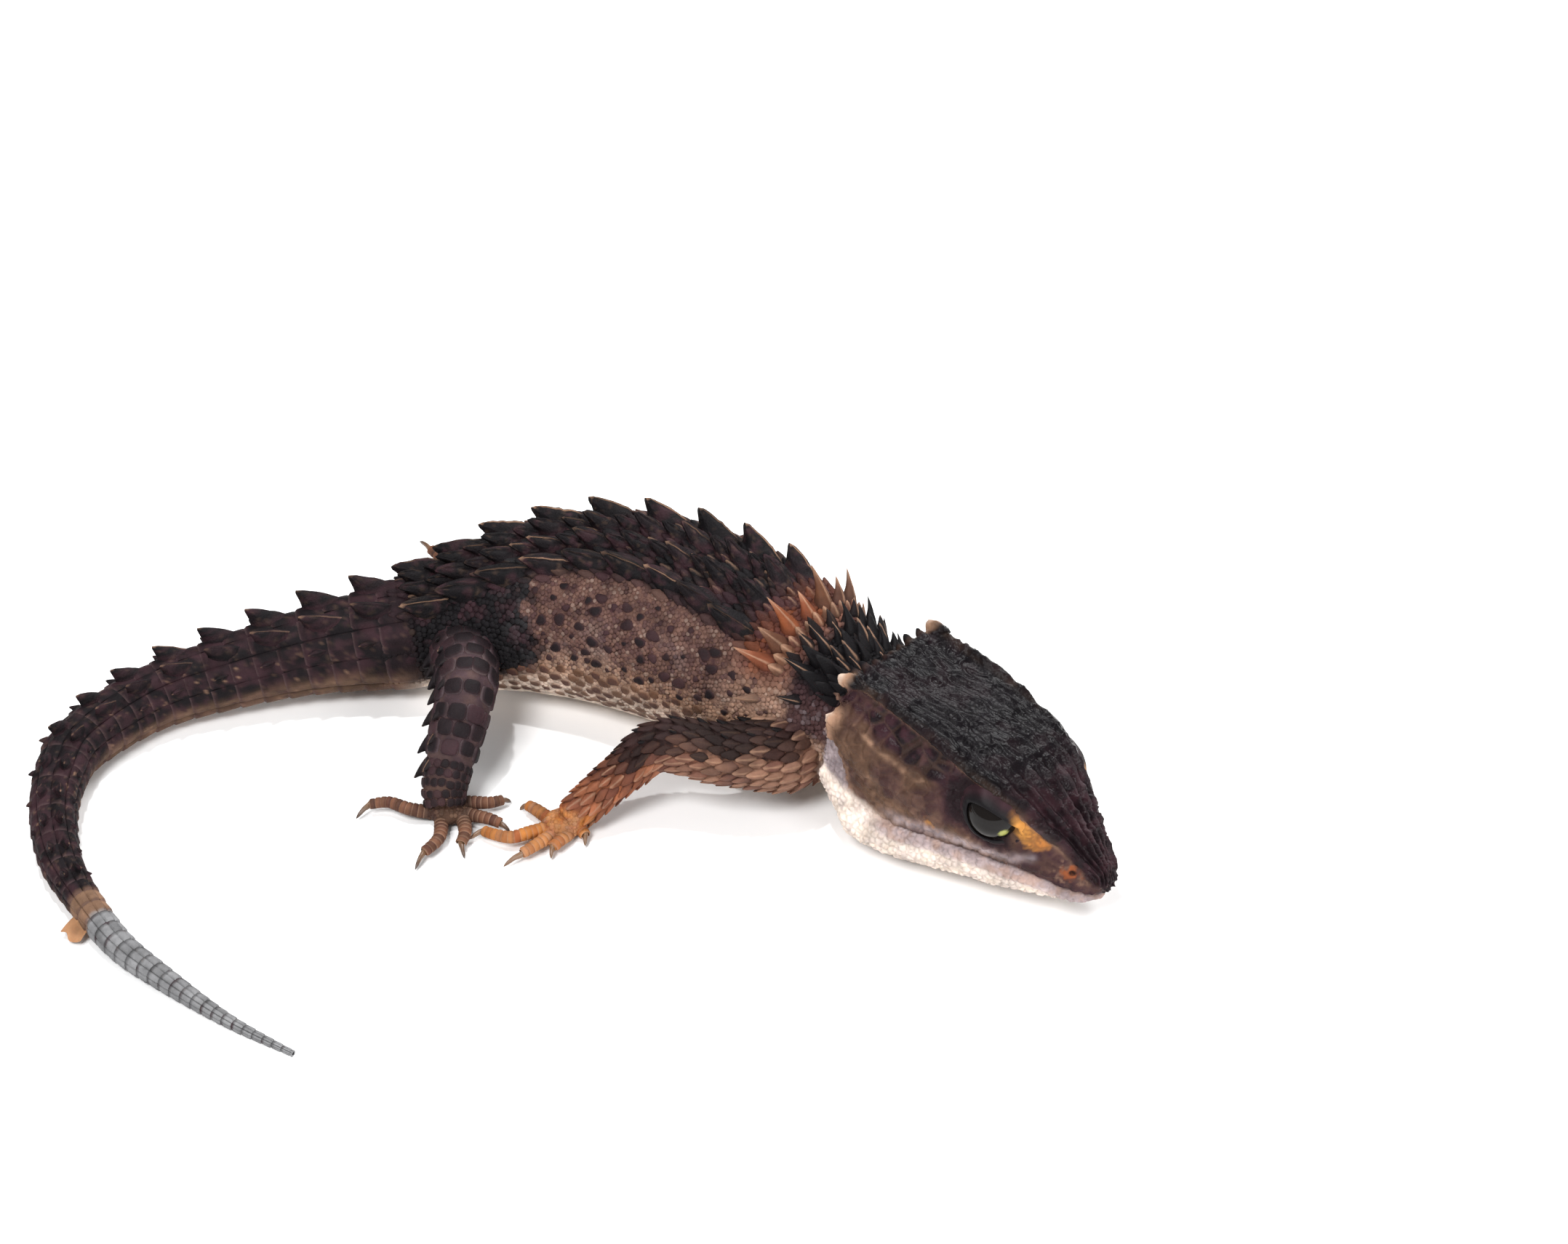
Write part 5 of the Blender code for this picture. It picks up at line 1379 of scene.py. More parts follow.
def domes(lay_of, radius, tall, stretch=1.0, square=1.0, sides=7, sink=0.12, flat_top=0.75,
          ragged=0.0):
    """Low round or squarish granules; stretch is along the body."""
    root, back, across, out = square_up(lay_of)
    radius, tall, stretch = (column(v, len(root)) for v in (radius, tall, stretch))
    angle = np.arange(sides) * 2.0 * math.pi / sides + 0.3
    ring = np.column_stack([np.cos(angle), np.sin(angle)])
    ring = ring / (np.abs(ring) ** (2.0 * square)).sum(1, keepdims=True) ** (0.5 / square)
    sizes, heights = np.array([1.0, 0.93, flat_top * 0.85]), np.array([0.0, 0.55, 0.93])
    x = np.append((sizes[:, None] * ring[:, 0]).ravel(), 0.0)[None, :, None]
    y = np.append((sizes[:, None] * ring[:, 1]).ravel(), 0.0)[None, :, None]
    tip = np.append(np.repeat(heights, sides), 1.0)
    level = tip[None, :, None]
    phase = (root @ np.array([7.1, 3.7, 5.3]))[:, None, None]
    around = np.append(np.tile(angle, 3), 0.0)[None, :, None]
    uneven = np.sin(2.0 * around + phase) + 0.8 * np.sin(3.0 * around - 1.7 * phase)
    radius = radius * (1.0 + ragged * uneven)
    points = (root[:, None] + back[:, None] * x * radius * stretch
              + across[:, None] * y * radius
              + out[:, None] * (tall * level - (level == 0.0) * sink))
    flat = np.column_stack([x[0, :, 0], y[0, :, 0]])
    return Stamp(points, capped_rings(3, sides), tip, 1.0 - np.hypot(*flat.T), flat, root)


def plates(line, start, end, turn, half, rise, keel_rise, along=6, across=7, sink=0.1):
    """Plates that follow a line's skin; start is the end that faces the head, and the far end
    stands up a little over the next plate."""
    u = np.repeat(np.linspace(0.0, 1.0, along), across)[None]
    v = np.tile(np.linspace(-1.0, 1.0, across), along)[None]
    start, end, turn, half, rise, keel_rise = (
        column(value, len(start))[..., 0] for value in (start, end, turn, half, rise, keel_rise))
    crown = (1.0 - np.abs(v) ** 5) * (1.0 - (2.0 * np.abs(u - 0.5)) ** 8)
    keel = np.clip(1.0 - np.abs(v) * 3.2, 0.0, 1.0)
    height = crown * (0.35 * rise + 0.65 * rise * u) + keel * keel_rise * u * crown
    height = height - sink * (1.0 - crown)
    points = line.skin(start + (end - start) * u, turn + half * v * (1.0 - 0.1 * u ** 4), height)
    flat = np.column_stack([2.0 * u[0] - 1.0, v[0]])
    roots = line.skin((start[:, 0] + end[:, 0]) / 2, turn[:, 0])
    return Stamp(points, grid_faces(along, across), u[0], keel[0] * u[0], flat, roots)


# %% [markdown]
# Each scale takes the markings of its root, so the coat and the skin always agree. A scale then
# adds its own: a paler keel or tip, a darker centre, and a slightly different tone from its
# neighbours. Its patch in the bake map lies at its root's place on an unrolled skin.

# %% Joining scales into a piece
BAKE_PATCH = 0.0015


def unrolled(at):
    """Places on a map of the unrolled skin: body below, head and legs above."""
    u = 0.02 + 0.96 * (at["s"] + TAIL_LENGTH) / (TAIL_LENGTH + NAPE)
    v = 0.02 + 0.5 * (at["turn"] + 180.0) / 360.0
    angle = np.degrees(np.arctan2(at["a"], at["u"] + 1.5))
    head, leg = at["head"] > 0.5, (at["on_leg"] > 0.5) & (at["leg"] >= 0)
    u = np.where(head, 0.02 + 0.36 * np.clip(at["f"] / 28.0, 0.0, 1.0), u)
    v = np.where(head, 0.56 + 0.42 * (angle + 180.0) / 360.0, v)
    row = 0.56 + 0.11 * np.maximum(at["leg"], 0)
    u = np.where(leg, 0.42 + 0.4 * np.clip(at["leg_s"], 0.0, 1.0), u)
    v = np.where(leg, row + 0.1 * (at["leg_turn"] + 180.0) / 360.0, v)
    foot = leg & (at["foot"] > 0.5)
    x, y = at["points"][:, 0], at["points"][:, 1]
    u = np.where(foot, 0.85 + 0.13 * ((x + 20.0) % 20.0) / 20.0, u)
    v = np.where(foot, row + 0.1 * ((y + 40.0) % 20.0) / 20.0, v)
    return np.column_stack([u, v])


def scale_marks(stamp, tint, tone, clouds, spread):
    """The markings of every point of every scale of a stamp."""
    count, each = stamp.points.shape[:2]
    blank = np.zeros((count, each))
    own = stamp.points.reshape(-1, 3)
    worn = survey(own) if spread else survey(stamp.roots)
    marks = {mark: share.reshape(count, -1) + blank for mark, share in markings(worn).items()}
    tint(marks, stamp.tip + blank, stamp.keel + blank, tone + blank)
    if clouds:
        patch, fleck = mottle(own * 1.1, 72), mottle(own * 3.0, 75)
        dark = ease(0.2, 0.5, marks["charcoal"])
        lay(marks, "plum", clouds * ease(0.54, 0.72, patch).reshape(count, each) * dark)
        lay(marks, "tan", 0.12 * clouds * ease(0.62, 0.8, fleck).reshape(count, each) * dark)
    marks["tone"] = 0.1 * tone + blank
    return marks


def coat(name, material, batches, seed=0, clouds=0.0, spread=False):
    """Joins stamps into one mesh piece with markings, tones and its map for baking.
    A batch is a stamp with the tint that its scales wear. Clouds is the share of plum patches on
    dark scales, and with spread the markings run over a scale and aren't only its root's."""
    rng = np.random.default_rng(1000 + seed)
    points, corners, sizes, uvs, first = [], [], [], [], 0
    values = {mark: [] for mark in (*MARKS, "tone")}
    for stamp, tint in batches:
        count, each = stamp.points.shape[:2]
        tone = rng.uniform(-1.0, 1.0, count)[:, None]
        for mark, shares in scale_marks(stamp, tint, tone, clouds, spread).items():
            values[mark].append(shares.ravel())
        faces = np.concatenate([np.array(face) for face in stamp.faces])
        offsets = first + each * np.arange(count)[:, None]
        corners.append((faces[None] + offsets).ravel())
        sizes.append(np.tile([len(face) for face in stamp.faces], count))
        patch = unrolled(survey(stamp.roots))[:, None] + stamp.flat[None] * BAKE_PATCH
        uvs.append(patch[:, faces].reshape(-1, 2))
        points.append(stamp.points.reshape(-1, 3))
        first += count * each
    points, corners, sizes = (np.concatenate(part) for part in (points, corners, sizes))
    points[:, 2] = np.maximum(points[:, 2], 0.01)
    mesh = bpy.data.meshes.new(name)
    mesh.vertices.add(len(points))
    mesh.loops.add(len(corners))
    mesh.polygons.add(len(sizes))
    mesh.vertices.foreach_set("co", (points * MM).astype(np.float32).ravel())
    mesh.loops.foreach_set("vertex_index", corners.astype(np.int32))
    starts = np.concatenate([[0], np.cumsum(sizes)[:-1]]).astype(np.int32)
    mesh.polygons.foreach_set("loop_start", starts)
    mesh.polygons.foreach_set("loop_total", sizes.astype(np.int32))
    mesh.polygons.foreach_set("use_smooth", np.ones(len(sizes), bool))
    mesh.update(calc_edges=True)
    mesh.uv_layers.new(name="OFBake").data.foreach_set(
        "uv", np.concatenate(uvs).astype(np.float32).ravel())
    for mark, shares in values.items():
        give_attribute(mesh, mark, np.concatenate(shares))
    mesh.validate()
    obj = bpy.data.objects.new(name, mesh)
    bpy.context.scene.collection.objects.link(obj)
    obj.data.materials.append(material)
    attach(obj, "root")
    print(name, int((sizes - 2).sum()), "triangles")
    return obj


# %% [markdown]
# ## Shields of the back
# Four rows of large keeled shields run down the back. Each is a leaf of horn whose keel rises
# to a hooked point behind. The outer rows are long and nearly touch, with a pale edge to the
# keel. The inner rows are set closer, with a smaller shield between each two.

# %% The four rows
OUTER_SHIELD = (4.7, 2.5, 1.85, 2.5)
INNER_SHIELD = (3.6, 2.4, 1.8, 2.35)
SHIELD_FORM = {"sides": 28, "levels": 12, "sink": 0.6, "edge": 0.85, "rugged": 0.34}
back_finish = marked_material("horn_shields", grain=0.26, depth=0.9, rough=(0.5, 0.3), shine=0.1)
row_places = (np.arange(9) + 0.5) * BACK_PITCH
between_places = np.arange(1, 9) * BACK_PITCH


def tint_outer_shield(marks, tip, keel, tone):
    lay(marks, "charcoal", 0.9 * ease(0.02, 0.25, tip))
    lay(marks, "tan", 0.75 * keel * ease(-0.9, -0.3, tone) * ease(0.05, 0.35, tip))


def tint_inner_shield(marks, tip, keel, tone):
    lay(marks, "plum", 0.4 * (1.0 - tip))
    lay(marks, "charcoal", 0.85 * ease(0.1, 0.4, tip))
    lay(marks, "tan", 0.6 * keel * ease(0.3, 0.9, tone) * ease(0.3, 0.9, tip))


rng = np.random.default_rng(7)
shields = []
shield_rows = [(row, row_places, 1.0) for row in (-1.0, 1.0)]
for row in (-0.34, 0.34):
    shield_rows += [(row, row_places, 0.96), (row, between_places, 0.72)]
for row, places_here, scale in shield_rows:
    outer = abs(row) == 1.0
    turn = back_angle(places_here, row)
    vary = rng.uniform(0.95 if outer else 0.93, 1.05, len(places_here)) * scale
    stamp = thorns(lie(body, places_here, turn), vary, OUTER_SHIELD if outer else INNER_SHIELD,
                   waist=0.66 if outer else 0.68, **SHIELD_FORM)
    shields.append((stamp, tint_outer_shield if outer else tint_inner_shield))
shield_roots = np.vstack([body.skin(places_here, back_angle(places_here, row))
                          for row, places_here, _ in shield_rows])
coat("back_shields", back_finish, shields, 1, clouds=0.75)

# %% [markdown]
# Between the rows the back is filled with small keeled scales, and beside the outer rows they
# get smaller until the fine skin of the flank begins.

# %% Small scales of the back


def tint_small(marks, tip, keel, tone):
    lay(marks, "plum", 0.6 * ease(-0.6, 0.6, tone) * (marks["charcoal"] < 0.3))
    lay(marks, "tan", 0.5 * keel * ease(0.6, 1.0, tone) * ease(0.2, 0.8, tip))


def back_edge(s):
    """The angle from the top at which the outer row of shields ends the back."""
    return float(back_angle(np.array([np.clip(s, 0.0, 40.0)]), 1.0)[0])


s, turn = scatter(body, -1.5, 40.0, 0.0, lambda s: back_edge(s) + 9.0, 1.12, rng)
s, turn = clear_of(shield_roots, 0.75, s, turn)
vary = rng.uniform(0.85, 1.2, len(s))
back_scales = thorns(lie(body, s, turn), vary, (1.45, 1.1, 0.5, 0.75), sides=8, levels=4,
                     sink=0.25)
coat("back_scales", back_finish, [(back_scales, tint_small)], 2, clouds=0.6)

# %% [markdown]
# ## Tail
# The tail is built of whorls. Each whorl is a ring of oblong scutes with a low keel whose hind
# edge stands a little over the next ring, and every second whorl on the front part carries
# four hooked spines. The last third has grown again and is grey, with plain rings.

# %% Whorls of scutes
WHORL_LENGTH = 2.68
WHORL_SHRINK = 0.65
SCUTE_HALVES = {97.0: 20.0, 133.0: 14.5, 163.0: 16.0, 19.0: 19.0, 58.0: 19.0}
SCUTE_TURNS = (-163.0, -133.0, -97.0, -58.0, -19.0, 19.0, 58.0, 97.0, 133.0, 163.0)


def whorl_edges():
    """Distances of the edges between whorls, from the vent back to the tip of the tail."""
    edges = [0.0]
    while edges[-1] > -TAIL_LENGTH:
        share = -edges[-1] / TAIL_LENGTH
        edges.append(edges[-1] - WHORL_LENGTH * (1.0 - WHORL_SHRINK * share))
    edges[-1] = -TAIL_LENGTH
    return np.array(edges)


def tint_scute(marks, tip, keel, tone):
    dark, grey = marks["ash"] < 0.3, marks["ash"] > 0.3
    lay(marks, "plum", 0.6 * ease(0.75, 0.95, tip) * dark)
    lay(marks, "lilac", 0.06 * ease(0.86, 1.0, tip) * dark)
    lay(marks, "tan", 0.05 * ease(0.86, 1.0, tip) * dark)
    # On the grey part, the charcoal at the front of each scute is painted shade under the overhang
    # of the scute in front; the rest of that charcoal is darker tone at random.
    lay(marks, "charcoal", (0.6 * ease(0.36, 0.16, tip) + 0.15 * ease(-0.4, -1.0, tone)) * grey)


edges = whorl_edges()
highs, lows = edges[:-1], edges[1:]
tail_finish = marked_material("tail_scutes", grain=0.24, depth=0.7, rough=(0.56, 0.35), shine=0.1)
wide = body.frame(lows)[4]
rise = 0.05 * wide + 0.07 + 0.03 * (lows < GREY_FROM)
reach = lows - 0.12 * (highs - lows)
batches = []
for turn in SCUTE_TURNS:
    keel_rise = 0.05 * wide * (abs(turn) < 100.0) * (lows > GREY_FROM)
    batches.append((plates(body, highs, reach, turn, SCUTE_HALVES[abs(turn)], rise, keel_rise,
                           along=9, across=11, sink=0.06), tint_scute))
coat("tail_scutes", tail_finish, batches, 3, clouds=0.7, spread=True)

# %% [markdown]
# A spine of the tail is long and low, with a sharp keel and a pale hind edge.

# %% Spines of the tail
TAIL_PARTS = ((0, 6), (6, 12), (12, 22), (22, 31), (31, 50))
TAIL_ROWS = np.array([(-58.0, 0.45), (-19.0, 1.0), (19.0, 1.0), (58.0, 0.45)])
TAIL_SPINES_END = 1.5
FULL_WIDTH = 3.6


def tint_tail_spine(marks, tip, keel, tone):
    spots = noise(np.column_stack([tip.ravel() * 6.0, tone.ravel() * 9.0, keel.ravel()]), 61)
    lay(marks, "charcoal", 0.8 * ease(0.0, 0.3, tip))
    lay(marks, "plum", 0.5 * ease(0.3, 0.7, spots.reshape(tip.shape)))
    lay(marks, "tan", 0.35 * ease(0.9, 1.0, tip) + 0.3 * keel * ease(0.2, 0.8, tone))


batches = []
for first, last in TAIL_PARTS:
    for low in edges[first + 2 : last + 1 : 2]:
        wide = float(body.frame(np.array([low]))[4][0])
        if wide < TAIL_SPINES_END:
            continue
        turn = TAIL_ROWS[:, 0]
        scale = TAIL_ROWS[:, 1] * min(1.0, wide / FULL_WIDTH)
        at = low + 2.0 * scale + 0.45
        tall = np.where(np.abs(turn) > 40.0, 2.6, 2.25)
        batches.append((thorns(lie(body, at, turn), scale, (4.1, 1.9, tall, 2.0), waist=0.6,
                               sides=20, levels=8, sink=0.6 * scale, edge=0.7, rugged=0.16),
                        tint_tail_spine))
coat("tail_spines", back_finish, batches, 4, clouds=0.5)

# %% [markdown]
# ## Crests of the nape
# Three crests cross the nape. The first is a row of tall orange-brown spines with pale keels on
# a fleshy collar, and the two behind the helmet are black. Small spines fill the spaces, so
# that each crest reads as one frill.

# %% Nape crests
NAPE_CRESTS = ((41.2, 1.0, (-72.0, -45.0, -15.0, 15.0, 45.0, 72.0)),
               (45.0, 0.8, (-62.0, -38.0, -13.0, 13.0, 38.0, 62.0)),
               (48.2, 0.6, (-50.0, -25.0, 0.0, 25.0, 50.0)))
BETWEEN_CRESTS = ((43.6, 0.7, 34.0), (46.4, 0.85, 40.0), (47.6, 0.75, 44.0),
                  (49.6, 0.55, 46.0), (51.0, 0.45, 48.0))
SMALL_SPINE, CREST_SPINE = (2.3, 2.1, 1.9, 1.8), (2.5, 1.9, 2.6, 2.9)
FILL_SPINE, LOW_SPINE = (2.6, 2.5, 2.5, 2.5), (2.0, 2.3, 1.3, 1.4)


def tint_orange_spine(marks, tip, keel, tone):
    lay(marks, "rust", 0.25 * ease(0.0, 0.2, tip) * (marks["rust"] > 0.25))
    lay(marks, "brown", 0.6 * ease(0.5, -0.6, tone))
    lay(marks, "plum", 0.4 * ease(0.4, 0.0, tip))
    pale = 0.75 * keel * ease(0.1, 0.4, tip) + 0.6 * ease(0.6, 1.0, tip)
    lay(marks, "tan", np.clip(pale, 0.0, 0.85))


def tint_black_spine(marks, tip, keel, tone):
    lay(marks, "charcoal", 0.95)
    lay(marks, "tan", 0.75 * keel * ease(0.2, 0.6, tone) * ease(0.1, 0.4, tip))


def crest_row(distance, turn, size, least, most, spine, stray=0.0, **form):
    """A row of spines across the nape, with sizes between the least and the most."""
    vary = size * rng.uniform(least, most, len(turn))
    at = distance + (rng.normal(0.0, stray, len(turn)) if stray else 0.0 * turn)
    return thorns(lie(body, at, turn), vary, spine, **form)


batches = []
for distance, size, reach in BETWEEN_CRESTS:
    turn = np.linspace(-reach, reach, int(reach / 5.5))
    turn = turn + rng.normal(0.0, 1.5, len(turn))
    batches.append((crest_row(distance, turn, size, 0.75, 1.1, SMALL_SPINE, 0.15, waist=0.6,
                              sides=12, rugged=0.1), tint_black_spine))
for number, (distance, size, turns) in enumerate(NAPE_CRESTS):
    tint = tint_orange_spine if number == 0 else tint_black_spine
    turn = np.array(turns)
    between = (turn[1:] + turn[:-1]) / 2
    between = between[np.abs(between) < 50.0]
    low = np.linspace(-46.0, 46.0, 2 * len(turn) + 1)
    lower_aside = size * np.interp(np.abs(turn), [40.0, 72.0], [1.0, 0.55])
    batches += [
        (crest_row(distance, turn, lower_aside, 0.95, 1.05, CREST_SPINE, waist=0.52, sides=14,
                   levels=9, sink=0.7, rugged=0.1), tint),
        (crest_row(distance + 0.2, between, size, 0.7, 0.88, FILL_SPINE, waist=0.56, sides=14,
                   levels=8, sink=0.6, rugged=0.12), tint),
        (crest_row(distance + 1.4, low, size, 0.5, 0.7, LOW_SPINE, waist=0.66, levels=5), tint)]
crest_finish = marked_material("crest_horn", grain=0.16, depth=0.5, rough=(0.5, 0.3), glow=0.15)
crest_roots = np.vstack([stamp.roots for stamp, _ in batches])
coat("nape_crests", crest_finish, batches, 5)

# %% [markdown]
# ## Flank and belly
# The flank is covered with fine granules like shagreen, under half a millimetre across, and
# round plum tubercles stand among them in slanting rows. Low on the side these turn into flat
# brown scales with pale borders, and the belly has larger smooth cream scales.

# %% Tubercles and larger scales of the flank


def tint_tubercle(marks, tip, keel, tone):
    lay(marks, "brown", 0.5 * ease(0.0, 0.2, tip))
    lay(marks, "plum", 0.9 * ease(0.1, 0.6, tip))
    lay(marks, "charcoal", 0.85 * ease(0.4, 0.9, tip) * ease(-0.9, 0.3, tone))


def tint_low_scale(marks, tip, keel, tone):
    lay(marks, "brown", 0.9 * ease(0.2, 0.7, tip))
    lay(marks, "rust", 0.12 * ease(0.2, 0.7, tip))
    lay(marks, "plum", 0.6 * ease(0.5, 0.95, tip) * ease(-0.8, 0.4, tone))


def tint_belly(marks, tip, keel, tone):
    lay(marks, "cream", 0.75)
    lay(marks, "tan", 0.3 * ease(0.2, 1.0, tone) * tip)


flank_finish = marked_material("shagreen_flank", grain=0.2, depth=0.5, rough=(0.6, 0.4), glow=0.08)
s, turn = scatter(body, 13.2, 43.5, lambda s: back_edge(s) + 15.0, 90.0, 2.15, rng, 0.3)
s = s + 0.35 * (np.abs(turn) - 80.0) / 20.0
radius = rng.uniform(0.22, 0.62, len(s)) * np.clip(ease(46.0, 36.0, s), 0.3, 1.0)
tubercles = domes(lie(body, s, turn), radius, 0.34 * radius + 0.07, 1.15, sides=14, flat_top=0.7,
                  ragged=0.12)
s, turn = scatter(body, 4.0, 43.0, 91.0, 127.0, 1.62, rng, 0.2)
vary = rng.uniform(0.75, 1.15, len(s)) * np.interp(s, [0.0, 36.0, 43.0], [1.0, 1.0, 0.6])
low_scales = domes(lie(body, s, turn), 0.5 * vary, 0.17 * vary, 1.15, 1.3, sides=14, ragged=0.1)
tubercle_roots = np.vstack([tubercles.roots, low_scales.roots])
tubercle_gaps = np.concatenate([radius, 0.5 * vary]) + 0.1
s, turn = scatter(body, -2.0, 52.0, 134.0, 180.0, 1.35, rng, 0.06)
belly_scales = domes(lie(body, s, turn, -0.12), 0.68, 0.13, 1.0, 1.6, sides=10, flat_top=0.9)
coat("flank_tubercles", flank_finish,
     [(tubercles, tint_tubercle), (low_scales, tint_low_scale), (belly_scales, tint_belly)], 6)

# %% [markdown]
# The granules fill the ground between the tubercles. On the hips and the neck they are
# coarser, charcoal on the hips and dark purple on the neck, and they begin along a ragged edge.

# %% Granules
NAPE_GAP = 0.3


def tint_granule(marks, tip, keel, tone):
    light_ground = (marks["charcoal"] + marks["plum"] + marks["rust"] < 0.45) * 1.0
    lay(marks, "plum", 0.7 * ease(0.2, 0.9, tone) * (1.0 - marks["cream"]) * light_ground)
    lay(marks, "cream", 0.1 * ease(-0.3, -1.0, tone) * ease(0.3, 0.9, tip) * light_ground)


def flank_field(start, end, low, high, pitch, on_hips):
    """Places between the tubercles, on the hips or in front of their ragged edge."""
    s, turn = clear_of(tubercle_roots, tubercle_gaps,
                       *scatter(body, start, end, low, high, pitch, rng, 0.3))
    wanted = (past_hips(body.skin(s, turn), s) <= 0.0) == on_hips
    return s[wanted], turn[wanted]


s, turn = flank_field(10.8, 44.8, lambda s: back_edge(s) + 8.0, 127.0, 0.47, False)
vary = rng.uniform(0.8, 1.15, len(s))
granules = domes(lie(body, s, turn), 0.235 * vary, 0.12 * vary, sides=6, sink=0.08)
coat("flank_granules", flank_finish, [(granules, tint_granule)], 7)

s, turn = flank_field(-4.0, 14.8, lambda s: back_edge(s) + 8.0 + max(0.0, -8.0 * s), 122.0, 0.56,
                      True)
vary = rng.uniform(0.85, 1.2, len(s))
hip_granules = domes(lie(body, s, turn), 0.3 * vary, 0.16 * vary)
s, turn = clear_of(crest_roots, NAPE_GAP, *scatter(body, 44.6, 53.6, 0.0, 135.0, 0.5, rng, 0.3))
vary = rng.uniform(0.8, 1.2, len(s))
neck_granules = domes(lie(body, s, turn), 0.27 * vary, 0.15 * vary, sides=6)
s, turn = clear_of(crest_roots, NAPE_GAP, *scatter(body, 38.0, 44.6, 0.0, 66.0, 0.62, rng, 0.3))
collar_granules = domes(lie(body, s, turn), 0.33, 0.17, sides=6)
coat("hip_and_neck_granules", flank_finish,
     [(hip_granules, tint_granule), (neck_granules, tint_granule),
      (collar_granules, tint_granule)], 8)

# %% [markdown]
# ## Legs
# The hind legs have large dark squarish scales with paler skin between, and a saw edge of
# pointed ones behind. The fore legs have overlapping keeled scales that point to the hand, black
# along the upper edge and orange below.

# %% Scales of the legs
SAW_PITCH = 1.9
SHANK_SHARE = 0.8
FORE_SCALE, SAW_SCALE = (1.75, 1.12, 0.42, 1.05), (1.8, 1.3, 0.85, 1.15)


def leg_rings(line, start, end, pitch, rng, jitter=0.08):
    """Places in staggered rings round a leg, a pitch apart both ways."""
    found_s, found_turn = [], []
    steps = max(1, int(round((end - start) / pitch)))
    for k in range(steps):
        s = start + (end - start) * (k + 0.5) / steps
        wide = float(line.frame(np.array([s]))[4][0])
        count = max(5, int(round(2.0 * math.pi * wide / pitch)))
        turns = (np.arange(count) + 0.5 * (k % 2)) * 360.0 / count
        found_turn.append(turns + rng.normal(0.0, jitter * 360.0 / count, count))
        found_s.append(s + rng.normal(0.0, jitter * pitch, count))
    return np.concatenate(found_s), (np.concatenate(found_turn) + 180.0) % 360.0 - 180.0


def lie_down_leg(line, s, turn):
    """Places on a leg for scales that point to the foot."""
    root, back, out = lie(line, s, turn)
    return root, -back, out


def tint_hind(marks, tip, keel, tone):
    lay(marks, "lilac", 0.08 * ease(0.3, 0.0, tip))
    lay(marks, "plum", 0.8 * ease(0.0, 0.3, tip))
    lay(marks, "charcoal", 0.85 * ease(0.3, 0.75, tip) * ease(-0.6, 0.0, tone))


def tint_saw(marks, tip, keel, tone):
    lay(marks, "charcoal", 0.9 * ease(0.0, 0.3, tip) * (marks["rust"] < 0.4))
    lay(marks, "tan", 0.5 * keel * ease(0.3, 0.9, tone))


def tint_fore(marks, tip, keel, tone):
    pale = np.maximum(keel, ease(0.8, 1.0, tip)) * ease(-0.6, 0.2, tone)
    lay(marks, "tan", 0.6 * pale * (marks["charcoal"] < 0.5))
    lay(marks, "brown", 0.25 * keel * ease(0.0, 0.8, tone))
    lay(marks, "plum", 0.5 * ease(0.1, 0.8, -tone) * (1.0 - tip) * (marks["charcoal"] < 0.5))


leg_finish = marked_material("leg_scales", grain=0.22, depth=0.6, rough=(0.54, 0.32), glow=0.06)
batches = []
for line in (legs["hind_right"], legs["hind_left"]):
    shank = SHANK_SHARE * line.along[-1]
    s, turn = leg_rings(line, 0.8, shank, 1.72, rng, 0.06)
    vary = rng.uniform(0.9, 1.08, len(s)) * np.interp(s, [0.0, shank], [1.0, 0.86])
    batches.append((domes(lie_down_leg(line, s, turn), 0.96 * vary, 0.3 * vary, 0.95, 2.0,
                          sides=18, flat_top=0.9, ragged=0.03), tint_hind))
    s, turn = leg_rings(line, shank + 0.4, line.along[-1] + 0.5, 0.78, rng)
    batches.append((domes(lie_down_leg(line, s, turn), 0.42, 0.17, 1.0, 1.5, sides=10,
                          ragged=0.06), tint_hind))
for line in (legs["fore_right"], legs["fore_left"]):
    s, turn = leg_rings(line, 1.0, line.along[-1] - 1.0, 1.12, rng)
    vary = rng.uniform(0.85, 1.15, len(s)) * np.interp(s, [0.0, line.along[-1]], [1.1, 0.78])
    batches.append((thorns(lie_down_leg(line, s, turn), vary, FORE_SCALE, waist=0.72, levels=5,
                           sink=0.25), tint_fore))
for name, line in legs.items():
    edge, size = LEGS[name]["spiny_edge"], LEGS[name]["spines"]
    knee = line.along[LEGS[name]["knee"] * LINE_STEPS]
    ankle = line.along[(len(LEGS[name]["joints"]) - 2) * LINE_STEPS]
    for start, end in ((0.0, knee), (knee, ankle)):
        number = max(1, int((end - start - 0.8) / SAW_PITCH))
        at = start + (end - start) * (np.arange(number) + 0.45) / number
        wide = line.frame(at)[4]
        for degrees, share in ((edge, 1.2), (edge - 42.0, 0.78), (edge + 42.0, 0.78)):
            scale = share * size * (0.35 + 0.25 * wide) * rng.uniform(0.93, 1.05, number)
            batches.append((thorns(lie_down_leg(line, at, np.full(number, degrees)), scale,
                                   SAW_SCALE, waist=0.64, sink=0.4), tint_saw))
coat("leg_scales", leg_finish, batches, 9)

# %% [markdown]
# ## Feet
# Toes are ringed by narrow plates on top and sides, each one a little over the next, and the
# palms have small pebbled scales. Every toe ends in a curved horn claw.

# %% Plates of the toes and palms
TOE_PLATE = 0.52
TOE_PLATE_REACH = 128.0


def tint_toe(marks, tip, keel, tone):
    lay(marks, "brown", 0.3 * ease(0.2, 1.0, tone))
    lay(marks, "plum", 0.4 * ease(0.5, 0.1, tip) * ease(0.55, 0.3, marks["rust"]))
    lay(marks, "tan", 0.65 * ease(0.8, 1.0, tip))


def tint_palm(marks, tip, keel, tone):
    lay(marks, "brown", 0.3 * ease(0.0, 1.0, tone) * tip)
    lay(marks, "tan", 0.2 * ease(0.6, 1.0, tone) * tip)


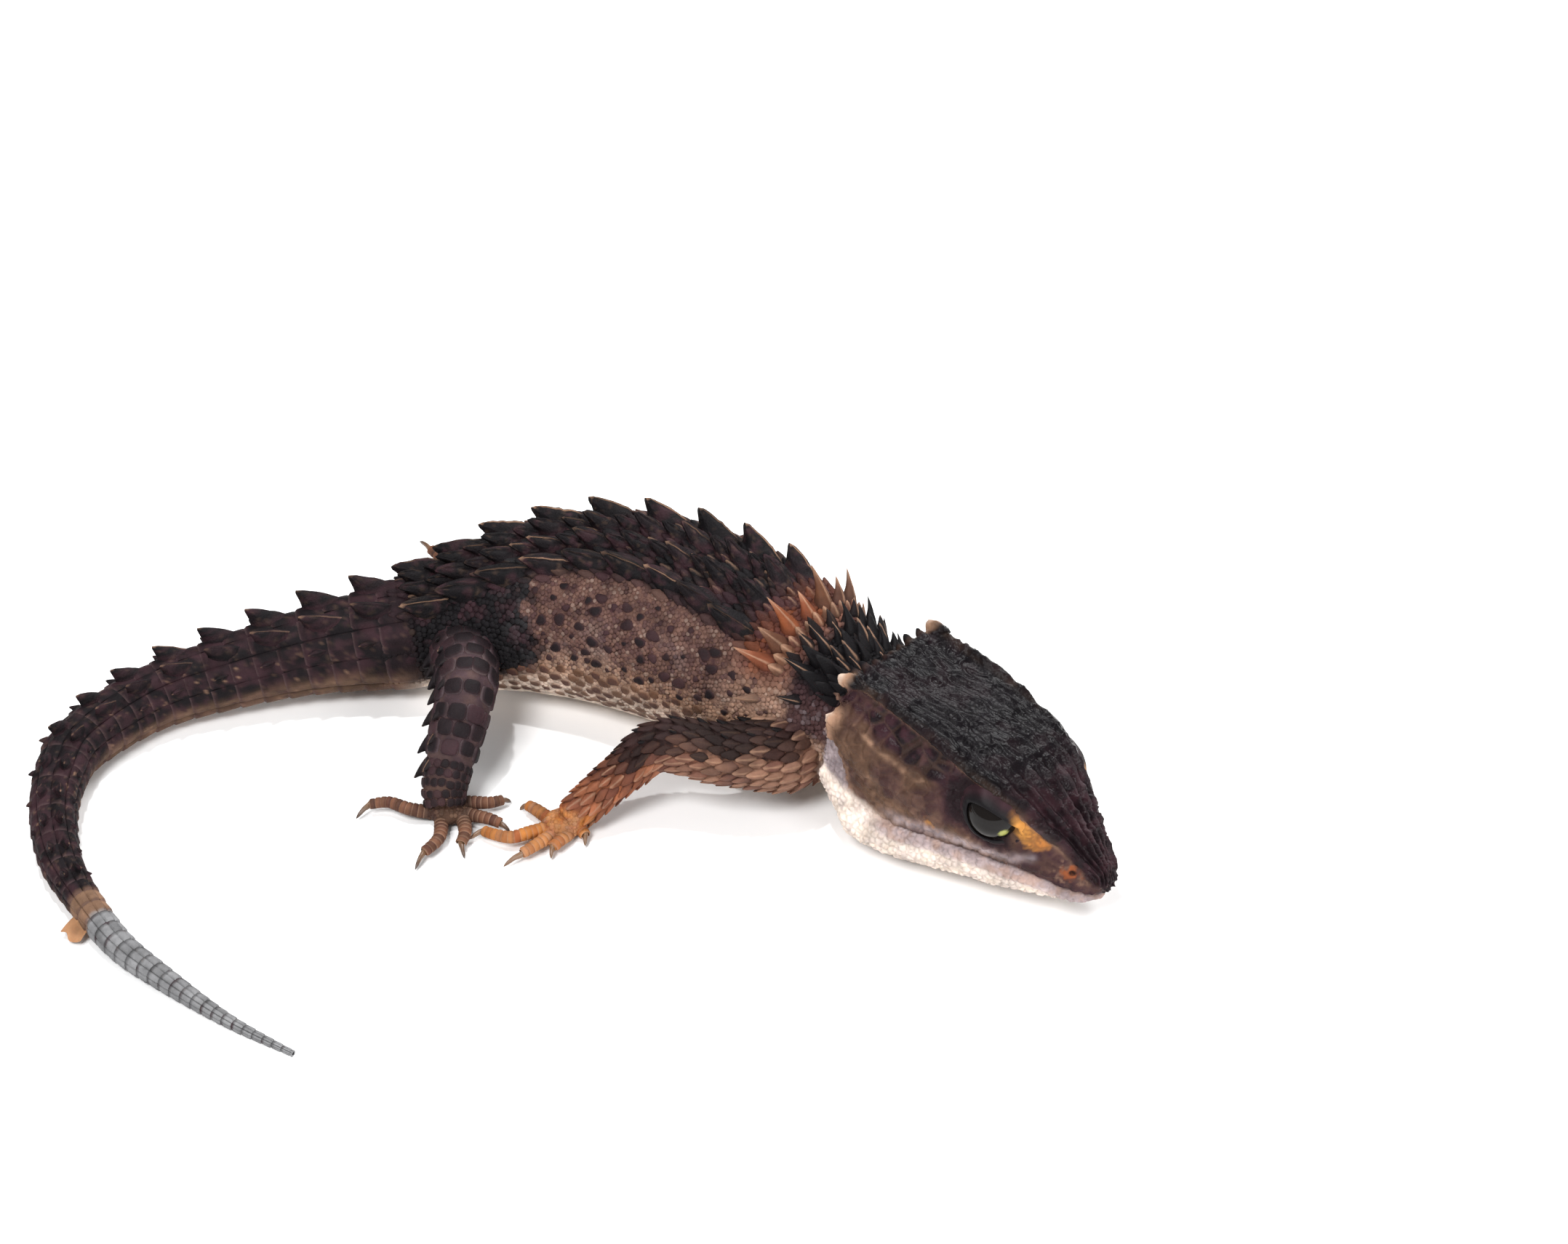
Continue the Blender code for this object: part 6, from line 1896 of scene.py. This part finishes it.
def pebbles(chosen, pitch, radius, tall, seed):
    """Granules on part of the skin itself, one in each small cube of space."""
    points = skin_points[chosen]
    cubes = np.floor(points / pitch).astype(np.int64)
    order = np.argsort(np.linalg.norm(points - (cubes + 0.5) * pitch, axis=1))
    _, first = np.unique(cubes[order], axis=0, return_index=True)
    picked = chosen[order[first]]
    out = get_normals(skin.data)[picked]
    back = unit(np.cross(out, [0.3, -0.8, 0.5]))
    vary = np.random.default_rng(seed).uniform(0.85, 1.15, len(picked))
    return domes((skin_points[picked] - out * 0.04, back, out), radius * vary, tall * vary, sides=6)


batches = []
for toe in toes.values():
    start = np.arange(0.9, toe.along[-1] - 0.25, TOE_PLATE)
    batches.append((plates(toe, start, start + TOE_PLATE * 1.18, 0.0, TOE_PLATE_REACH, 0.1, 0.0,
                           along=5, across=13, sink=0.05), tint_toe))
palms = np.flatnonzero((places["foot"] > 0.4) & (places["toe_s"] < 1.0))
batches.append((pebbles(palms, 0.42, 0.24, 0.12, 71), tint_palm))
foot_finish = marked_material("foot_scales", grain=0.18, depth=0.3, rough=(0.5, 0.35), glow=0.12)
coat("foot_scales", foot_finish, batches, 10)

# %% [markdown]
# A claw is a tapering horn that leaves the toe level and bends down to the floor. The claws of
# the hind feet are dark at the tip, and those of the hands stay brown.

# %% Claws
CLAW_RADIUS = 0.33
CLAW_BROWN, CLAW_DARK = (0.2, 0.11, 0.06), (0.035, 0.022, 0.018)
HAND_CLAW_DARKEST = 0.35


def claw_shell(toe, tip, sides=10):
    """Rings along a bent line from inside the toe to the claw's tip."""
    root = toe.rows[-1, :3]
    reach = tip - root
    knots = [root - unit(reach) * 0.45, root + reach * 0.05, root + reach * 0.35 + [0, 0, 0.15],
             root + reach * 0.75 + [0, 0, 0.1], tip]
    path = smooth_rows(knots, 3)
    taper = np.interp(np.linspace(0, 1, len(path)), [0, 0.3, 0.75, 1], [1, 0.95, 0.6, 0.1])
    forward = unit(np.gradient(path, axis=0))
    left = unit(np.cross([0.0, 0.0, 1.0], forward))
    up = np.cross(forward, left)
    angle = (np.arange(sides) * 2.0 * math.pi / sides)[None, :, None]
    ring = left[:, None] * np.sin(angle) * 0.8 + up[:, None] * np.cos(angle)
    return path[:, None] + ring * CLAW_RADIUS * taper[:, None, None]


claw_shells, claw_share = [], []
for (name, number), toe in toes.items():
    rings = claw_shell(toe, np.array(LEGS[name]["toes"][number][-1]))
    claw_shells.append(loft(rings))
    darkest = 1.0 if name.startswith("hind") else HAND_CLAW_DARKEST
    claw_share.append(np.repeat(np.linspace(0.0, darkest, len(rings)), rings.shape[1]))
claw_points, claw_faces = join_shells(claw_shells)
claw_points[:, 2] = np.maximum(claw_points[:, 2], 0.02)
claws = new_mesh("claws", claw_points, claw_faces, MM)
give_attribute(claws.data, "tip_share", np.concatenate(claw_share))
claw_horn, claw_shader = start_material("claw_horn", Roughness=0.3)
claw_tones = two_tones(claw_horn, read_attribute(claw_horn, "tip_share"), CLAW_BROWN, CLAW_DARK)
set_sockets(claw_shader, {"Base Color": claw_tones})
claws.data.materials.append(claw_horn)
claws.data.shade_smooth()
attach(claws, "root")
print("claws:", len(claw_points), "points")

# %% [markdown]
# ## Shed skin
# Where the grey part of the tail begins, a flake of old skin stands off it, thin and curled. It
# is a bent sheet given a little thickness.

# %% The flake
FLAKE_TURN = 96.0
FLAKE_HEIGHT, FLAKE_HALF = 1.75, 1.2
FLAKE_THICKNESS = 0.09
FLAKE_COLOURS = {"tan": 0.55, "amber": 0.25, "brown": 0.2}
flake_rows, flake_columns = 9, 7
u, v = np.meshgrid(np.linspace(0.0, 1.0, flake_rows), np.linspace(-1.0, 1.0, flake_columns),
                   indexing="ij")
root, back, out = lie(body, np.array([GREY_FROM + 1.2]), np.array([FLAKE_TURN]))
lift = FLAKE_HEIGHT * u * (1.0 + 0.16 * np.sin(4.0 * v + 0.6) - 0.18 * v)
slide = FLAKE_HALF * v * (1.0 - 0.12 * u) + 0.45 * u
curl = 0.5 * u ** 2 + 0.2 * np.sin(3.0 * v) * u
points = (root + back * slide[..., None] + out * (lift - 0.2)[..., None]
          + np.cross(back, out) * curl[..., None]).reshape(-1, 3)
flake = new_mesh("shed_flake", points, grid_faces(flake_rows, flake_columns), MM)
for mark in MARKS:
    give_attribute(flake.data, mark, np.full(len(points), FLAKE_COLOURS.get(mark, 0.0)))
give_attribute(flake.data, "tone", np.full(len(points), -0.1))
flake.modifiers.new("thin sheet", "SOLIDIFY").thickness = FLAKE_THICKNESS * MM
soft_edge = flake.modifiers.new("soft edge", "SUBSURF")
soft_edge.levels = soft_edge.render_levels = 1
flake.data.materials.append(marked_material("dry_skin", grain=0.25, depth=0.5, rough=(0.55, 0.4),
                                            glow=0.2))
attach(flake, "root")
print("flake:", FLAKE_HEIGHT, "mm high")

# %% [markdown]
# ## Eyes
# The eye is nearly black and wet. Only at the front corner, where the iris shows beside the
# wide pupil, is there a fleck of yellow-green. The lids are smooth dark rolls, thicker above
# and behind, and they are laid from the ball out onto the skin of the head.

# %% Eyeballs
EYE_RINGS = 40
EYE_BULGE = 0.12
CORNER_WAY = np.array([2.1, 1.35, -0.35])
PUPIL_BLACK, IRIS_BROWN = (0.004, 0.004, 0.004), (0.01, 0.007, 0.006)
CORNER_GREEN = (0.42, 0.43, 0.12, 1.0)


def eye_material():
    """A black wet ball with a dark brown iris and a light corner."""
    material, shader = start_material("wet_eye", Roughness=0.08, Specular_IOR_Level=0.15,
                                      Coat_Weight=0.1, Coat_Roughness=0.03)
    fibres = add_node(material, "TexNoise", {"Scale": 4200.0}, output="Fac")
    iris = add_node(material, "Math", {0: read_attribute(material, "iris"), 1: fibres},
                    operation="MULTIPLY")
    colour = add_node(material, "Mix", output="Result", data_type="RGBA")
    set_sockets(colour.node, {"A": two_tones(material, iris, PUPIL_BLACK, IRIS_BROWN),
                              "B": CORNER_GREEN, "Factor": read_attribute(material, "corner")})
    set_sockets(shader, {"Base Color": colour})
    return material


def mirrored(head_points, side):
    """Places given for the left of the head, on the side that is asked for."""
    return np.asarray(head_points) * [1.0, side, 1.0]


def eyeball(name, side, material):
    """A ball with a faint bulge in front, flatter than a marble."""
    polar = np.linspace(0.02, math.pi - 0.02, EYE_RINGS)[:, None]
    around = np.linspace(0.0, 2.0 * math.pi, 2 * EYE_RINGS, endpoint=False)[None]
    gaze = unit(eye_out + 0.1 * eye_ahead)
    up = unit(eye_up - gaze * (gaze @ eye_up))
    ahead = np.cross(up, gaze)
    radius = EYE_RADIUS - EYE_BULGE + EYE_BULGE * np.exp(-(polar / 0.75) ** 2)
    ring = (gaze * np.cos(polar)[..., None] + ahead * (np.sin(polar) * np.cos(around))[..., None]
            + up * (np.sin(polar) * np.sin(around))[..., None])
    local = EYE_AT + ring * radius[..., None]
    points, faces = loft(from_head(mirrored(local, side)))
    ball = new_mesh(name, points, faces if side > 0 else [face[::-1] for face in faces], MM)
    angle = np.repeat(polar[:, 0], 2 * EYE_RINGS)
    gap = np.linalg.norm(local.reshape(-1, 3) - (EYE_AT + unit(CORNER_WAY) * EYE_RADIUS), axis=1)
    give_attribute(ball.data, "iris", ease(1.0, 0.7, angle))
    give_attribute(ball.data, "corner", 0.8 * ease(0.52, 0.3, gap))
    ball.data.materials.append(material)
    ball.data.shade_smooth()
    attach(ball, "root")
    return ball


wet = eye_material()
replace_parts(eyeball("eyeball_left", 1.0, wet), "eye_left")
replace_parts(eyeball("eyeball_right", -1.0, wet), "eye_right")
print("eyes", round(2.0 * EYE_RADIUS, 2), "mm across")

# %% [markdown]
# The lids follow the almond. Their inner edge rests on the ball and their outer edge is pressed
# into the skin, which is found by looking straight in at the eye from outside.

# %% Lids
LID_STEPS = 96
LID_PROFILE = ((0.0, 0.02), (0.02, 0.14), (0.12, 0.24), (0.3, 0.27), (0.5, 0.22), (0.75, 0.1),
               (1.0, -0.12))
LOOK_FROM = 8.0


def skin_near_eye(side):
    """A search tree of the skin's triangles round one eye."""
    near = np.linalg.norm(to_head(skin_points) - mirrored(EYE_AT, side), axis=1) < 6.5
    chosen = skin_triangles[near[skin_triangles].all(1)]
    zone = np.unique(chosen)
    return BVHTree.FromPolygons([Vector(p) for p in skin_points[zone]],
                                np.searchsorted(zone, chosen).tolist())


def lid_surface(side):
    """Points of a lid ring: rows go round the almond, columns go out from the ball."""
    tree = skin_near_eye(side)
    rows = []
    for angle in np.linspace(0.0, 2.0 * math.pi, LID_STEPS, endpoint=False):
        above, behind = max(math.sin(angle), 0.0), max(-math.cos(angle), 0.0)
        width = 0.55 + 0.5 * above + behind * (0.5 + 0.5 * above)
        inner, outer = (np.array(almond_rim(np.array([angle]), grow)).ravel()
                        for grow in (0.0, width))
        deep = math.sqrt(max(EYE_RADIUS ** 2 - np.hypot(*inner) ** 2, 0.6))
        inner = EYE_AT + eye_ahead * inner[0] + eye_up * inner[1] + eye_out * deep
        outer = EYE_AT + eye_ahead * outer[0] + eye_up * outer[1]
        start = from_head(mirrored(outer + eye_out * LOOK_FROM, side))
        aim = from_head(mirrored(outer, side)) - start
        hit = tree.ray_cast(Vector(start), Vector(aim))[0]
        outer = mirrored(to_head(np.array(hit)), side) if hit else outer + eye_out * 2.2
        rows.append([inner + (outer - inner) * share + eye_out * (lift * (0.8 + 0.5 * above))
                     for share, lift in LID_PROFILE])
    return np.array(rows)


def lids(name, side, material):
    """One smooth roll round the eye, dark by the ball and orange over the amber patch."""
    grid = lid_surface(side)
    steps, depth = grid.shape[:2]
    local = grid.reshape(-1, 3)
    faces = [tuple(k % len(local) for k in face) for face in grid_faces(steps + 1, depth)]
    faces = [(a, b, c, d) if side < 0 else (d, c, b, a) for a, b, c, d in faces]
    ring = new_mesh(name, from_head(mirrored(local, side)), faces, MM)
    out = np.tile(np.linspace(0.0, 1.0, depth), steps)
    amber = ease(0.9, 0.45, line_distance(local, AMBER_PATCH)[0]) * ease(0.1, 0.4, out)
    plum = ease(0.55, 0.95, out)
    shares = {"plum": plum * (1.0 - amber), "charcoal": (1.0 - plum) * (1.0 - amber),
              "amber": amber, "gloss": np.full(len(local), 0.6)}
    for mark in (*MARKS, "tone"):
        give_attribute(ring.data, mark, shares.get(mark, np.zeros(len(local))))
    smoother = ring.modifiers.new("soft lids", "SUBSURF")
    smoother.levels = smoother.render_levels = 2
    ring.data.materials.append(material)
    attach(ring, "root")
    print(name, len(faces), "faces")


skin.data.calc_loop_triangles()
skin_triangles = np.zeros(len(skin.data.loop_triangles) * 3, np.int32)
skin.data.loop_triangles.foreach_get("vertices", skin_triangles)
skin_triangles = skin_triangles.reshape(-1, 3)
lid_finish = marked_material("eyelid_skin", grain=0.2, depth=0.2, rough=(0.55, 0.3))
lids("eyelids_left", 1.0, lid_finish)
lids("eyelids_right", -1.0, lid_finish)

# %% [markdown]
# ## The skin takes the place of the solids
# The one skin stands for every solid of flesh, so no parting shows. The eyes have pieces of
# their own.

# %% Skin in place
skin.data.shade_smooth()
set_points(skin.data, skin_points * MM)
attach(skin, "root")
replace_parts(skin, *[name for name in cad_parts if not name.startswith("eye")])
print("the skin stands for", len([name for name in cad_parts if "eye" not in name]), "solids")

# %% [markdown]
# ## Floor, light and camera
# The photograph has a white ground and soft light from all sides, with a brighter one from
# above and behind. A pale floor, a near-white world and three large soft lamps give that, and a
# small lamp overhead gives the wet glints.

# %% The studio
FLOOR_HALF = 1.2
FLOOR_WHITE, FLOOR_SHADE = (0.93, 0.93, 0.93), (0.92, 0.92, 0.92)
WORLD_WHITE = (1.0, 1.0, 1.0, 1.0)
LAMPS = (
    ("key_lamp", (-140.0, -260.0, 420.0), (0.0, 0.0, 0.0), 170.0, 2.1),
    ("back_lamp", (160.0, 300.0, 330.0), (0.0, 0.0, 0.0), 200.0, 1.7),
    ("glint_lamp", (-60.0, 40.0, 420.0), (20.0, 0.0, 8.0), 14.0, 0.6),
    ("front_lamp", (260.0, -300.0, 160.0), (20.0, 0.0, 8.0), 160.0, 0.9),
)


def soft_lamp(name, place, aim, size, power):
    """A square area lamp at a place in millimetres, turned to its aim."""
    lamp = bpy.data.lights.new(name, "AREA")
    lamp.shape = "SQUARE"
    lamp.size = size * MM
    lamp.energy = power
    obj = bpy.data.objects.new(name, lamp)
    obj.location = Vector(place) * MM
    obj.rotation_euler = (Vector(aim) - Vector(place)).to_track_quat("-Z", "Y").to_euler()
    bpy.context.scene.collection.objects.link(obj)


floor = new_mesh("floor", [(x * FLOOR_HALF, y * FLOOR_HALF, 0)
                           for x, y in ((-1, -1), (1, -1), (1, 1), (-1, 1))], [(0, 1, 2, 3)])
board, board_shader = start_material("pale_board", Roughness=0.9)
cloud = add_node(board, "TexNoise", {"Scale": 9.0}, output="Fac")
set_sockets(board_shader, {"Base Color": two_tones(board, cloud, FLOOR_SHADE, FLOOR_WHITE)})
floor.data.materials.append(board)
floor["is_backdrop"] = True
world = bpy.data.worlds.new("pale_room")
world.use_nodes = True
set_sockets(world.node_tree.nodes["Background"], {"Color": WORLD_WHITE, "Strength": 0.3})
bpy.context.scene.world = world
for lamp in LAMPS:
    soft_lamp(*lamp)
print("lamps:", [lamp[0] for lamp in LAMPS])

# %% [markdown]
# The camera looks from the photograph's viewing angle, from in front and above, through a lens
# long enough to keep the tail and the head at one scale.

# %% The camera
VIEW_ELEVATION = math.radians(38.0)
VIEW_DISTANCE = 330.0
VIEW_AIM = (20.0, 24.0, 0.0)
VIEW_LENS = 77.0
camera = bpy.data.objects.new("camera", bpy.data.cameras.new("camera"))
back_off = Vector((0.0, -math.cos(VIEW_ELEVATION), math.sin(VIEW_ELEVATION))) * VIEW_DISTANCE
camera.location = (Vector(VIEW_AIM) + back_off) * MM
camera.rotation_euler = (math.pi / 2 - VIEW_ELEVATION, 0.0, 0.0)
camera.data.lens = VIEW_LENS
camera.data.sensor_width = 36.0
camera.data.clip_start = 0.01
bpy.context.scene.view_settings.view_transform = "Standard"
bpy.context.scene.collection.objects.link(camera)
bpy.context.scene.camera = camera
print("camera at", [round(c, 3) for c in camera.location])

# %% [markdown]
# Both boxes, of the solids and of the dressed model, are printed side by side.

# %% Sizes
new_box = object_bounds()
for label, (low, high) in (("solids", cad_box), ("dressed", new_box)):
    print(label, [round(c / MM, 2) for c in low], [round(c / MM, 2) for c in high])
